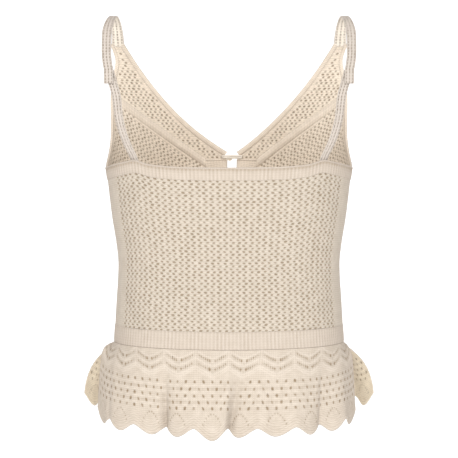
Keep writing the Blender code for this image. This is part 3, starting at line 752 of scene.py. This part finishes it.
slant_upper, slant_lower = slant_line(SLANT_WIDTH / 2), slant_line(-SLANT_WIDTH / 2)
arm_line = inset(armhole, -ARMHOLE_WIDTH)
upper_arm = tuple(c[arm_line[1] > slant_upper[1][0]] for c in arm_line)
lower_arm = tuple(c[(arm_line[1] < slant_lower[1][0]) & (arm_line[0] < SIDE_ANGLE)] for c in arm_line)
ledge = straight((KEYHOLE_HALF, KEYHOLE_TOP), (PLAIN_TOP_HALF, KEYHOLE_TOP), 8)
plain_side = straight((PLAIN_TOP_HALF, slant_lower[1][-1]), (PLAIN_LOW_HALF, UNDERBUST), 12)
yoke_outline = np.vstack([charted(inset(neck, NECK_WIDTH)), charted(ledge),
                          charted(slant_upper)[::-1], charted(upper_arm)[::-1]])
under_arm = (np.array([SIDE_ANGLE]), np.array([lower_arm[1][-1]]))
low_side = (np.linspace(SIDE_ANGLE, plain_side[0][-1], 30), np.full(30, UNDERBUST))
cup_outline = np.vstack([charted(slant_lower), charted(plain_side), charted(low_side)[::-1],
                         charted(under_arm), charted(lower_arm)[::-1]])
slant_run, slant_rise = charted(slant_lower)[0] - charted(slant_lower)[-1]
slant_turn = np.arctan2(slant_rise, slant_run)
for hand, way in (("left", 1), ("right", -1)):
    yoke = front_piece(f"yoke_net_{hand}", yoke_outline, 0.0, way, 21, f"yoke_{hand}")
    cup = front_piece(f"cup_net_{hand}", cup_outline, slant_turn, way, 22, f"cup_{hand}")


# Keyhole piece, plain knit
# A small U of plain knit round the keyhole at the centre front, with a rolled fold along its upper edge.
KEYHOLE_LOW, KEYHOLE_LAP = -206.0, 1.6
FOLD_RADIUS, FOLD_INWARDS, FOLD_UP = 1.1, 1.0, 0.3


def keyhole_lines():
    """The keyhole's own outline, a U, and the piece's outer line, both from one top corner to the other."""
    low, turn = KEYHOLE_LOW + KEYHOLE_HALF, np.linspace(-np.pi / 2, np.pi / 2, 25)
    left, right = (straight((s * KEYHOLE_HALF, a), (s * KEYHOLE_HALF, b), 10)
                   for s, a, b in ((-1, KEYHOLE_TOP, low), (1, low, KEYHOLE_TOP)))
    bend = (angle_at(KEYHOLE_HALF * np.sin(turn), low), low - KEYHOLE_HALF * np.cos(turn))
    inner = tuple(np.concatenate([p, q[1:-1], r]) for p, q, r in zip(left, bend, right))
    top_half, low_half, low = PLAIN_TOP_HALF + KEYHOLE_LAP, PLAIN_LOW_HALF + KEYHOLE_LAP, UNDERBUST - LAP
    corner = (-top_half, KEYHOLE_TOP), (-low_half, low), (low_half, low), (top_half, KEYHOLE_TOP)
    stretch = [straight(a, b, n) for a, b, n in zip(corner, corner[1:], (10, len(inner[0]) - 18, 10))]
    outer = tuple(np.concatenate([p, q[1:-1], r]) for p, q, r in zip(*stretch))
    return inner, outer


keyhole_inner, keyhole_outer = keyhole_lines()
keyhole = ribbed("keyhole_plain", strip(keyhole_outer, keyhole_inner, 1), 170.0, 24.0, 2.1, 1.15, 0.14,
                 ["keyhole_piece"])
for hand, way in (("left", 1), ("right", -1)):
    angle, z = straight((KEYHOLE_HALF, KEYHOLE_TOP), (PLAIN_TOP_HALF, KEYHOLE_TOP), 60)
    route = figure(way * angle, z + FOLD_UP, FRONT) + (0, FOLD_INWARDS, 0)
    # Painted light: the folds take the lighter inner colour to offset their shade.
    roll(f"fold_{hand}", route, FOLD_RADIUS, "plain_knit", "keyhole_piece", inside=1.0)


# Straps, mesh knit
# A shoulder piece runs from each yoke over the shoulder, and its square end is sewn onto the back strap,
# which goes down inside the back band. Each is three columns of small holes between lengthwise strands.
ROUTE = (
    # x, y, z, turn in degrees, width
    (140.7, -37.8, -33.6, -9.6, 16.0),
    (141.0, -35.0, -29.6, -9.5, 16.0),
    (141.0, -25.5, -19.0, -8.0, 14.6),
    (142.0, -12.5, -6.0, -4.0, 12.0),
    (143.6, 2.0, 0.0, 0.0, 10.0),
    (146.8, 16.5, -5.0, 2.0, 10.8),
    (150.0, 29.0, -18.0, 4.0, 12.0),
    (150.5, 40.0, -38.0, 6.0, 12.0),
    (149.0, 50.0, -60.0, 9.0, 12.0),
    (143.8, 58.0, -82.0, 14.0, 12.0),
    (139.3, 61.5, -98.0, 19.0, 12.0),
    (135.4, 64.0, -120.0, 24.0, 12.0),
    (131.3, 65.5, -140.0, 29.0, 12.0),
    (124.0, 65.5, -161.0, 33.0, 12.0),
    (115.6, 63.7, -179.0, 36.0, 12.0),
    (112.5, 63.0, -189.5, 36.0, 12.0),
)
SHOULDER_END_Z, BACK_STRAP_START_Z = -88.0, -70.0
OVERLAP_STEP, OVERLAP_OUT = 3.0, 4.5
STRAP_COLUMNS, STRAP_CELL, STRAP_HOLE = 3, (4.0, 4.2), (0.16, 0.4)
# Inner colour painted lighter than the bright one, as painted light.
yarn("strap_knit", (0.65, 0.582, 0.523), (0.4, 0.34, 0.28), (0.95, 0.87, 0.76), 480.0, 560.0, 0.25, 0.6)


def strap_route():
    """Shares along the route against its columns, by the straight distances between its rows."""
    rows = np.array(ROUTE)
    run = np.concatenate([[0], np.cumsum(np.linalg.norm(np.diff(rows[:, :3], axis=0), axis=1))])
    return tuple(map(tuple, np.column_stack([run / run[-1], rows]))), run[-1]


strap_table, STRAP_LENGTH = strap_route()
behind = np.linspace(0.3, 1, 400)
behind_z = through(strap_table, 3, behind)


def share_at(z):
    return float(np.interp(-z, -behind_z, behind))


def strap_surface(start, end, rows, way, out, step):
    """Flat strap along a stretch of the route: across it by its turned width, moved sideways and inwards."""

    def centre_at(share):
        return np.stack([through(strap_table, column, share) for column in (1, 2, 3)], -1)

    def surface(u, v):
        share = start + (end - start) * v / rows
        turn = np.radians(through(strap_table, 4, share))
        across = np.stack([np.cos(turn), -np.sin(turn), 0 * turn], -1)
        ahead = centre_at(share + 0.002) - centre_at(share - 0.002)
        outward = np.cross(across, ahead)
        outward /= np.linalg.norm(outward, axis=-1, keepdims=True)
        offset = (u / STRAP_COLUMNS - 0.5) * through(strap_table, 5, share) + out(share)
        point = centre_at(share) + across * offset[..., None] - outward * step(share)[..., None]
        return point * (way, 1, 1)

    return surface


overlap_start, overlap_end = share_at(BACK_STRAP_START_Z), share_at(SHOULDER_END_Z)


def over(share):
    """How far along the overlap of the two pieces: 0 where it starts and 1 where it ends."""
    return (share - overlap_start) / (overlap_end - overlap_start)


def moved_out(share):
    return OVERLAP_OUT * np.clip(over(share), 0, 1)


def moved_in(share):
    return OVERLAP_STEP * np.clip(3 - over(share), 0, 1)


STRAPS = (
    # name, node, start and end on the route, move sideways, move inwards
    ("shoulder_net", "shoulder", 0.001, overlap_end, moved_out, np.zeros_like),
    ("strap_net", "back_strap", overlap_start, 1.0, np.zeros_like, moved_in),
)
for name, node, start, end, out, step in STRAPS:
    length = STRAP_LENGTH * (end - start)
    rows = int(round(length / STRAP_CELL[1]))
    for hand, way in (("left", 1), ("right", -1)):
        surface = strap_surface(start, end, rows, way, out, step)
        band = openwork(f"{name}_{hand}", surface, STRAP_COLUMNS, rows, STRAP_HOLE, STRAP_CELL, 31,
                        "strap_knit", [f"{node}_{hand}"], EVERY_RING, EVERY_RING, wall=(0.4, 0.85), way=way,
                        crossing=0.7, lean=0.0)


# Lace peplum
# Two flounces of lace knit, open at the sides: two zigzag lines of eyelets under the waistband, then
# staggered dots, then scallops with an arch of small holes over each and fine ridges along the hem.
SCALLOPS, TO_NOTCH, TO_TIP, SHORTER, CLOTH_PERIOD = 10, 95.0, 109.0, 4.0, 43.5
STRAIGHT_START, FLARE_POWER, FOLD_POWER = 0.02, 0.9, 1.3
SIDE_TURN = {BACK: 0.66, FRONT: 1.0}
HEM_BACK = {"half_width": 160.0, "depth": 105.0, "edge_y": 20.0, "centre_x": 3.0}
HEM_FRONT = {"half_width": 190.0, "depth": 112.0, "edge_y": 38.0, "centre_x": 0.0}
FOLDS_BACK = (
    # centre in scallops, depth outwards, reach, lean, cloth gathered
    (1.4, 4.0, 0.45, 0.0, 3.0),
    (3.0, -10.0, 0.38, 0.1, 15.0),
    (4.5, 9.0, 0.48, 0.3, 0.0),
    (5.1, -8.0, 0.36, 0.45, 15.0),
    (7.0, 4.0, 0.50, 0.0, 0.0),
    (8.0, -7.0, 0.40, 0.1, 12.0),
    (8.8, 4.0, 0.40, 0.0, 4.0),
    (2.74, 2.6, 0.14, 0.05, 0.0),
    (3.02, -4.2, 0.13, 0.1, 0.0),
    (4.86, 3.0, 0.15, 0.42, 0.0),
    (5.14, -4.4, 0.13, 0.45, 0.0),
    (6.5, -2.2, 0.16, -0.2, 0.0),
    (7.94, -3.0, 0.13, 0.1, 0.0),
    (1.0, -2.4, 0.14, -0.2, 0.0),
)
PLEATS_BACK = ((3.0, 0.1), (5.12, 0.45))
FOLDS_FRONT = (
    # centre in scallops, depth outwards, reach, lean, cloth gathered
    (1.2, 5.0, 0.55, 0.1, 3.0),
    (2.4, -9.0, 0.42, -0.2, 9.0),
    (3.7, 6.0, 0.50, 0.0, 0.0),
    (5.2, -8.0, 0.40, 0.3, 8.0),
    (6.1, 7.0, 0.45, 0.1, 0.0),
    (7.6, -8.0, 0.40, -0.1, 6.0),
    (8.9, 5.0, 0.50, 0.0, 3.0),
    (2.38, -3.6, 0.14, -0.2, 0.0),
    (5.24, -4.0, 0.13, 0.3, 0.0),
    (6.4, 2.2, 0.15, 0.1, 0.0),
    (7.62, -3.4, 0.14, -0.1, 0.0),
)
PLEATS_FRONT = ((5.22, 0.3),)
LACE_COLUMNS, LACE_ROWS = 48, 88
LACE_HALF, RIM_RISE = 0.6, 0.5
ZIGZAG_DEPTH = 10.0
ZIGZAGS = (
    # distance below the waist seam, half width of the hole at the turn
    (4.2, 1.35),
    (14.6, 1.5),
)
SLITS = (
    # columns from a scallop's middle, half width, half height
    (7, 0.72, 2.0),
    (10, 0.7, 2.0),
    (13, 0.68, 1.9),
    (16, 0.64, 1.8),
    (19, 0.6, 1.5),
)
TURN_STEP, TURN_HIGH = 4, 1.9
DOT_ROWS, DOT_SIZE, DOTS = (39.0, 47.6, 55.8, 63.6, 70.8), (1.68, 2.0), 4
ARCH_SIZE, PLEAT_REACH, END_MARGIN, WIDE_HOLE = 0.85, 0.17, 2.5, 1.2
ARCH = (
    # share of a scallop from its middle, distance below the waist seam
    (0.036, 77.5),
    (0.10, 79.5),
    (0.16, 82.5),
    (0.21, 86.0),
    (0.25, 90.0),
)
# Inner colour painted lighter and yellower than the bright one, as painted light shining through the lace.
yarn("peplum_lace", (0.68, 0.6, 0.514), (0.29, 0.22, 0.145), (0.93, 0.82, 0.645), 368.0, 430.0, 0.35, 0.6)


def lace_length(s):
    """Length of the lace below the waistband: scallops between sharp notches, the middle one the longest."""
    tip = TO_TIP - SHORTER * (1 - np.exp(-(((s - 4.5) / 0.6) ** 2)))
    return TO_NOTCH + (tip - TO_NOTCH) * np.abs(np.sin(np.pi * s)) ** 1.5


def peplum_cloth(side, hem, folds):
    """Middle of a flounce as a grid: each thread of cloth swings out to the hem's plan and into the folds by
    shares of its length, and drops by what its length has left over."""
    s = np.linspace(0, SCALLOPS, SCALLOPS * LACE_COLUMNS + 1)
    t = np.linspace(0, 1, LACE_ROWS + 1)[:, None]
    swung = (t - STRAIGHT_START).clip(0) / (1 - STRAIGHT_START)
    spread = CLOTH_PERIOD * s
    for centre, _, reach, _, gathered in folds:
        spread = spread - gathered * 0.5 * (1 + np.tanh((s - centre) / reach))
    spread = (spread - spread[0]) / (spread[-1] - spread[0])
    top_angle = even_angle(1 - 2 * s / SCALLOPS, *section(np.array(WAIST_LOW), side))
    top_angle = np.clip(top_angle, -SIDE_ANGLE, SIDE_ANGLE)
    top = figure(top_angle, WAIST_LOW - SEAM + waist_lift(top_angle, side), side)
    edge_share = np.linspace(0, 1, 200)
    edge_angle = even_angle(edge_share, hem["half_width"], hem["depth"])
    edge_depth = oval(edge_angle, hem["half_width"], hem["depth"])[1]
    reach_share = np.interp(-hem["edge_y"], -edge_depth, edge_share)
    hem_angle = even_angle(reach_share * (1 - 2 * spread), hem["half_width"], hem["depth"])
    hem_x, hem_y = oval(hem_angle, hem["half_width"], hem["depth"])
    swing = np.stack([hem_x + hem["centre_x"] - top[:, 0], side * hem_y - top[:, 1]], -1)
    outward = np.stack([hem_x / hem["half_width"] ** 2, side * hem_y / hem["depth"] ** 2], -1)
    outward /= np.linalg.norm(outward, axis=1, keepdims=True)
    fold = 0
    for centre, out, reach, lean, _ in folds:
        fold = fold + out * np.exp(-(((s - centre - lean * (1 - t)) / reach) ** 2))
    curl = 1.3 * np.cos(2 * np.pi * s) * swung**6
    flare = np.sin(np.pi / 2 * swung) ** FLARE_POWER
    turned = np.sin(np.pi / 2 * np.minimum(swung / 0.32, 1)) ** 1.1 if side == BACK else flare**1.25
    flare = flare + (turned - flare) * SIDE_TURN[side] * np.abs(2 * s / SCALLOPS - 1) ** 6
    flat = swing * flare[..., None]
    flat = flat + outward * (fold * swung**FOLD_POWER + curl)[..., None]
    step = lace_length(s) * np.diff(t, axis=0)
    sideways = np.linalg.norm(np.diff(flat, axis=0), axis=-1)
    drop = np.sqrt(np.maximum(step**2 - sideways**2, (0.3 * step) ** 2))
    z = top[:, 2] - np.concatenate([np.zeros((1, len(s))), np.cumsum(drop, axis=0)])
    return np.concatenate([top[:, :2] + flat, z[..., None]], -1)


def between_points(grid, row, column):
    """Values of a grid at places between its points, by the four points round each."""
    r = np.clip(np.floor(row).astype(int), 0, grid.shape[0] - 2)
    c = np.clip(np.floor(column).astype(int), 0, grid.shape[1] - 2)
    a, b = (row - r)[..., None], (column - c)[..., None]
    above = (1 - b) * grid[r, c] + b * grid[r, c + 1]
    below = (1 - b) * grid[r + 1, c] + b * grid[r + 1, c + 1]
    return (1 - a) * above + a * below


def zigzag(s):
    """Drop of a zigzag line: sharp at its peaks and slightly round at its turns over the scallops' tips."""
    way = 1 - np.abs(2 * (s % 1) - 1)
    return ZIGZAG_DEPTH * (0.45 * way + 0.55 * np.sin(np.pi / 2 * way))


def eyelets(seed, pleats):
    """Places of all holes of a flounce: column and row of the grid, half width, half height and the strength
    of its painted shade. The dots leave out the plain ribs at the pleats."""
    chance = np.random.default_rng(seed)
    holes = []
    for line, big in ZIGZAGS:
        for step, wide, high in ((TURN_STEP, big, TURN_HIGH), *SLITS):
            holes += [(0.5 + way * step / LACE_COLUMNS, line, wide, high, True) for way in (-1, 1)]
    for k, t in enumerate(DOT_ROWS):
        holes += [((i + 0.5 * (k % 2)) / DOTS, t, *DOT_SIZE, False) for i in range(DOTS)]
    for share, t in ARCH:
        holes += [(0.5 + way * share, t, ARCH_SIZE, ARCH_SIZE, False) for way in (-1, 1)]
    placed = []
    for scallop in range(SCALLOPS):
        for s, t, wide, high, follows in holes:
            at = scallop + s
            to_pleat = min(abs(at - pleat - lean * (1 - t / 100)) for pleat, lean in pleats)
            if not follows and wide > WIDE_HOLE and to_pleat < PLEAT_REACH:
                continue
            row = (t + (zigzag(np.array(at)) if follows else 0)) / lace_length(at) * LACE_ROWS
            size = 1 + chance.uniform(-0.12, 0.12)
            placed.append((at * LACE_COLUMNS, row, wide * size, high * size, chance.uniform(0.6, 1)))
    placed, middle = np.array(placed), SCALLOPS * LACE_COLUMNS / 2
    return placed[np.abs(placed[:, 0] - middle) < middle - END_MARGIN]


def lace_relief(s, t):
    """Height of the lace's ridges: beside the zigzags, between the dots and along the scalloped hem."""
    bend = zigzag(s)
    rise = 0
    for line, strength in ((0.5, 0.25), (9.4, 0.5), (19.6, 0.5), (22.8, 0.3)):
        rise = rise + strength * np.exp(-(((t - line - bend) / 0.95) ** 2))
    hatch = -np.cos(2 * np.pi * (np.abs(s % 1 - 0.5) * LACE_COLUMNS - 4) / 3)
    dots = np.exp(-(((t - 55.0) / 18.0) ** 6))
    rise = rise + 0.22 * dots * np.cos(2 * np.pi * (t - 43.3) / 8.0) * (0.6 + 0.4 * np.cos(8 * np.pi * s))
    up = lace_length(s) - t
    hem = np.exp(-((up / 20.0) ** 4))
    rise = rise + 0.24 * hatch * (1 - hem) * (0.35 + 0.65 * np.exp(-(((t - bend - 9.0) / 13.0) ** 4)))
    return rise + 0.22 * hem * np.cos(2 * np.pi * up / 3.4) + 0.3 * np.exp(-((up - 1.2) / 0.9) ** 2)


def lace(name, side, hem, folds, pleats, seed, node):
    """Flounce as one closed skin on the grid. Each eyelet is a point sunk to a thin film, and its eight
    neighbours go onto an oval rim round it. Eyelets and rims are painted dark as shade, and so, less, are
    the low parts of the relief; the inner face is painted lighter."""
    grid = peplum_cloth(side, hem, folds)
    rows, columns = grid.shape[:2]
    r, c = np.meshgrid(np.arange(rows, dtype=float), np.arange(columns, dtype=float), indexing="ij")
    rim = np.zeros((rows, columns), bool)
    sunk = np.zeros((rows, columns), bool)
    column_width = CLOTH_PERIOD / LACE_COLUMNS
    index = np.arange(rows * columns).reshape(rows, columns)
    eyelet_shade = np.zeros((rows, columns))
    for at_column, at_row, wide, high, dark in eyelets(seed, pleats):
        i, j = int(round(at_row)), int(round(at_column))
        row_height = lace_length(j / LACE_COLUMNS) / LACE_ROWS
        for di, dj in ((-1, -1), (-1, 0), (-1, 1), (0, 1), (1, 1), (1, 0), (1, -1), (0, -1)):
            turn = np.arctan2(di * row_height, dj * column_width)
            r[i + di, j + dj] = at_row + high * np.sin(turn) / row_height
            c[i + di, j + dj] = at_column + wide * np.cos(turn) / column_width
            rim[i + di, j + dj] = True
            eyelet_shade[i + di, j + dj] = dark * (0.8 if wide > WIDE_HOLE else 0.5)
        r[i, j], c[i, j] = at_row, at_column
        sunk[i, j] = True
        eyelet_shade[i, j] = 1.7 * dark
    s = c / LACE_COLUMNS
    t = r / LACE_ROWS * lace_length(s)
    middle = between_points(grid, r, c)
    slope_s, slope_t = np.gradient(middle, axis=1), np.gradient(middle, axis=0)
    normal = np.cross(slope_s, slope_t) * -side
    normal /= np.maximum(np.linalg.norm(normal, axis=-1, keepdims=True), 1e-9)
    relief = lace_relief(s, t)
    outer_rise, inner_rise = (np.where(sunk, film, np.where(rim, RIM_RISE, LACE_HALF + share * relief))
                              for film, share in ((0.0, 1.0), (0.08, 0.5)))
    for rise in (outer_rise, inner_rise):
        rise[[0, -1]] = 0
        rise[:, [0, -1]] = 0
    outer, inner = middle + normal * outer_rise[..., None], middle - normal * inner_rise[..., None]
    quads = np.stack([index[:-1, :-1], index[1:, :-1], index[1:, 1:], index[:-1, 1:]], -1).reshape(-1, 4)
    faces = np.vstack([quads, quads[:, ::-1] + index.size])[:, ::side]
    points = np.vstack([outer.reshape(-1, 3), inner.reshape(-1, 3)])
    flat = np.tile(np.stack([s * CLOTH_PERIOD, -t], -1).reshape(-1, 2), (2, 1))
    # Painted shade: dark eyelets and rims, and darker low relief.
    hollow_shade = np.where(sunk | rim, eyelet_shade, np.clip(0.25 - 0.7 * relief, 0, 1)).ravel()
    marks = {"hollow_shade": np.tile(hollow_shade, 2), "inside": np.repeat([0.0, 1.0], rows * columns)}
    return knitted(name, points, faces, flat, marks, "peplum_lace", [node])


for word, side, hem, folds, pleats, seed in (
    ("back", BACK, HEM_BACK, FOLDS_BACK, PLEATS_BACK, 41),
    ("front", FRONT, HEM_FRONT, FOLDS_FRONT, PLEATS_FRONT, 42),
):
    flounce = lace(f"{word}_flounce", side, hem, folds, pleats, seed, f"peplum_{word}")


# Button loop and button
# A soft cord loop closes the top of the keyhole inside the knit, round the shank of a small domed button.
BUTTON_RADIUS, BUTTON_THICKNESS, BUTTON_X, BUTTON_Z = 3.6, 3.4, 3.0, -172.2
LOOP_HALF_LENGTH, LOOP_LOW, LOOP_HIGH, LOOP_THICKNESS = 13.5, -172.6, -168.6, 1.6
CORD_RADIUS, CORD_INSET = 1.35, 1.0
INWARDS = 2.2 + SEAM
turn = np.linspace(0, 2 * np.pi, 90)
half_height = (LOOP_HIGH - LOOP_LOW) / 2 - CORD_INSET
ends = np.clip(3 * np.cos(turn), -1, 1)
route_x = (LOOP_HALF_LENGTH - CORD_INSET - half_height) * ends + half_height * np.cos(turn)
route_z = (LOOP_LOW + LOOP_HIGH) / 2 + half_height * np.clip(1.6 * np.sin(turn), -1, 1)
route = figure(angle_at(route_x, route_z), route_z, FRONT) + (0, INWARDS, 0)
# Painted light: the cord takes the lighter inner colour to offset the shade inside the keyhole.
roll("loop_cord", route, CORD_RADIUS, "strap_knit", "button_loop", twist=2.0, inside=1.0)

button_shell = bpy.data.materials.new("button_shell_finish")
button_shell.use_nodes = True
nodes, links = button_shell.node_tree.nodes, button_shell.node_tree.links
shader = nodes["Principled BSDF"]
shader.inputs["Roughness"].default_value = 0.32
shader.inputs["Coat Weight"].default_value = 0.25
place, cloud = nodes.new("ShaderNodeTexCoord"), nodes.new("ShaderNodeTexNoise")
cloud.inputs["Scale"].default_value = 320.0
tone = nodes.new("ShaderNodeValToRGB")
tone.color_ramp.elements[0].color = (0.78, 0.68, 0.53, 1.0)
tone.color_ramp.elements[1].color = (0.93, 0.87, 0.76, 1.0)
links.new(place.outputs["Object"], cloud.inputs["Vector"])
links.new(cloud.outputs["Fac"], tone.inputs["Fac"])
links.new(tone.outputs["Color"], shader.inputs["Base Color"])
BUTTON_PROFILE = np.array([
    # share of the radius, share of the thickness
    (0.0, 0.0),
    (0.5, 0.0),
    (0.8, 0.1),
    (0.97, 0.3),
    (1.0, 0.42),
    (0.97, 0.55),
    (0.86, 0.68),
    (0.8, 0.64),
    (0.72, 0.66),
    (0.5, 0.9),
    (0.25, 0.98),
    (0.0, 1.0),
])
spin = np.linspace(0, 2 * np.pi, 40, endpoint=False)
middle = figure(angle_at(np.array(BUTTON_X), np.array(BUTTON_Z)), np.array(BUTTON_Z), FRONT)
back_face = middle[1] + INWARDS - LOOP_THICKNESS / 2 - SEAM
radius, out = BUTTON_PROFILE[:, :1] * BUTTON_RADIUS, BUTTON_PROFILE[:, 1:] * BUTTON_THICKNESS
flat = np.stack([radius * np.cos(spin), radius * np.sin(spin)], -1)
points = np.stack([middle[0] + flat[..., 0], back_face - out + 0 * spin, middle[2] + flat[..., 1]], -1)
faces = wrapped(*points.shape[:2])[:, [0, 3, 2, 1]]
knitted("domed_button", points.reshape(-1, 3), faces, flat.reshape(-1, 2), {}, "button_shell", ["button"])


# Room, lights and camera
# A pale floor that rises all round into a pale wall, soft light from beside the camera and from the front,
# and the camera straight behind the top at chest height.
FLOOR_Z, FLOOR_RADIUS, WALL_BEND, WALL_TOP = -0.95, 4.2, 1.2, 1.6
bend = np.linspace(0, np.pi / 2, 16)
room_r = np.concatenate([[0.001], FLOOR_RADIUS - WALL_BEND + WALL_BEND * np.sin(bend), [FLOOR_RADIUS]])
room_z = np.concatenate([[FLOOR_Z], FLOOR_Z + WALL_BEND * (1 - np.cos(bend)), [WALL_TOP]])
spin = np.linspace(0, 2 * np.pi, 72, endpoint=False)
across, along = np.outer(room_r, np.cos(spin)), np.outer(room_r, np.sin(spin))
points = np.stack([across, along, room_z[:, None] + 0 * spin], -1)
mesh = bpy.data.meshes.new("room")
mesh.from_pydata(points.reshape(-1, 3).tolist(), [], wrapped(*points.shape[:2]).tolist())
mesh.shade_smooth()
room = bpy.data.objects.new("room", mesh)
bpy.context.collection.objects.link(room)
pale = bpy.data.materials.new("pale_room")
pale.use_nodes = True
shader = pale.node_tree.nodes["Principled BSDF"]
shader.inputs["Base Color"].default_value = (0.7, 0.7, 0.7, 1.0)
shader.inputs["Roughness"].default_value = 0.9
shader.inputs["Emission Color"].default_value = (1.0, 1.0, 1.0, 1.0)
shader.inputs["Emission Strength"].default_value = 0.47
mesh.materials.append(pale)

world = bpy.data.worlds.new("soft_white")
world.use_nodes = True
world.node_tree.nodes["Background"].inputs["Color"].default_value = (1.0, 1.0, 1.0, 1.0)
world.node_tree.nodes["Background"].inputs["Strength"].default_value = 0.85
bpy.context.scene.world = world
LIGHTS = (
    # name, place, aim, width, watts
    ("key", (0.8, 2.1, 0.85), (0.0, 0.0, -0.25), 0.7, 16.0),
    ("fill", (-0.9, 2.1, 0.35), (0.0, 0.0, -0.25), 1.0, 10.0),
    ("front", (0.5, -2.1, 0.9), (0.0, 0.0, -0.25), 0.9, 14.0),
)


def aimed(thing, place, aim):
    """Puts a light or camera at a place, turned so that its -Z axis runs to the aim."""
    away = np.array(place) - np.array(aim)
    thing.location = place
    thing.rotation_euler = (np.arccos(away[2] / np.linalg.norm(away)), 0, np.arctan2(away[0], -away[1]))


for name, place, aim, width, watts in LIGHTS:
    light = bpy.data.lights.new(name, "AREA")
    light.shape, light.size, light.energy = "DISK", width, watts
    lamp = bpy.data.objects.new(name, light)
    bpy.context.collection.objects.link(lamp)
    aimed(lamp, place, aim)

CAMERA_PLACE, CAMERA_LENS = (0.0, 2.2, -0.265), 138.3
camera = bpy.data.objects.new("camera", bpy.data.cameras.new("camera"))
camera.data.lens, camera.data.sensor_width = CAMERA_LENS, 36.0
bpy.context.collection.objects.link(camera)
aimed(camera, CAMERA_PLACE, (0.0, 0.0, CAMERA_PLACE[2]))
bpy.context.scene.camera = camera
bpy.context.scene.view_settings.view_transform = "Standard"
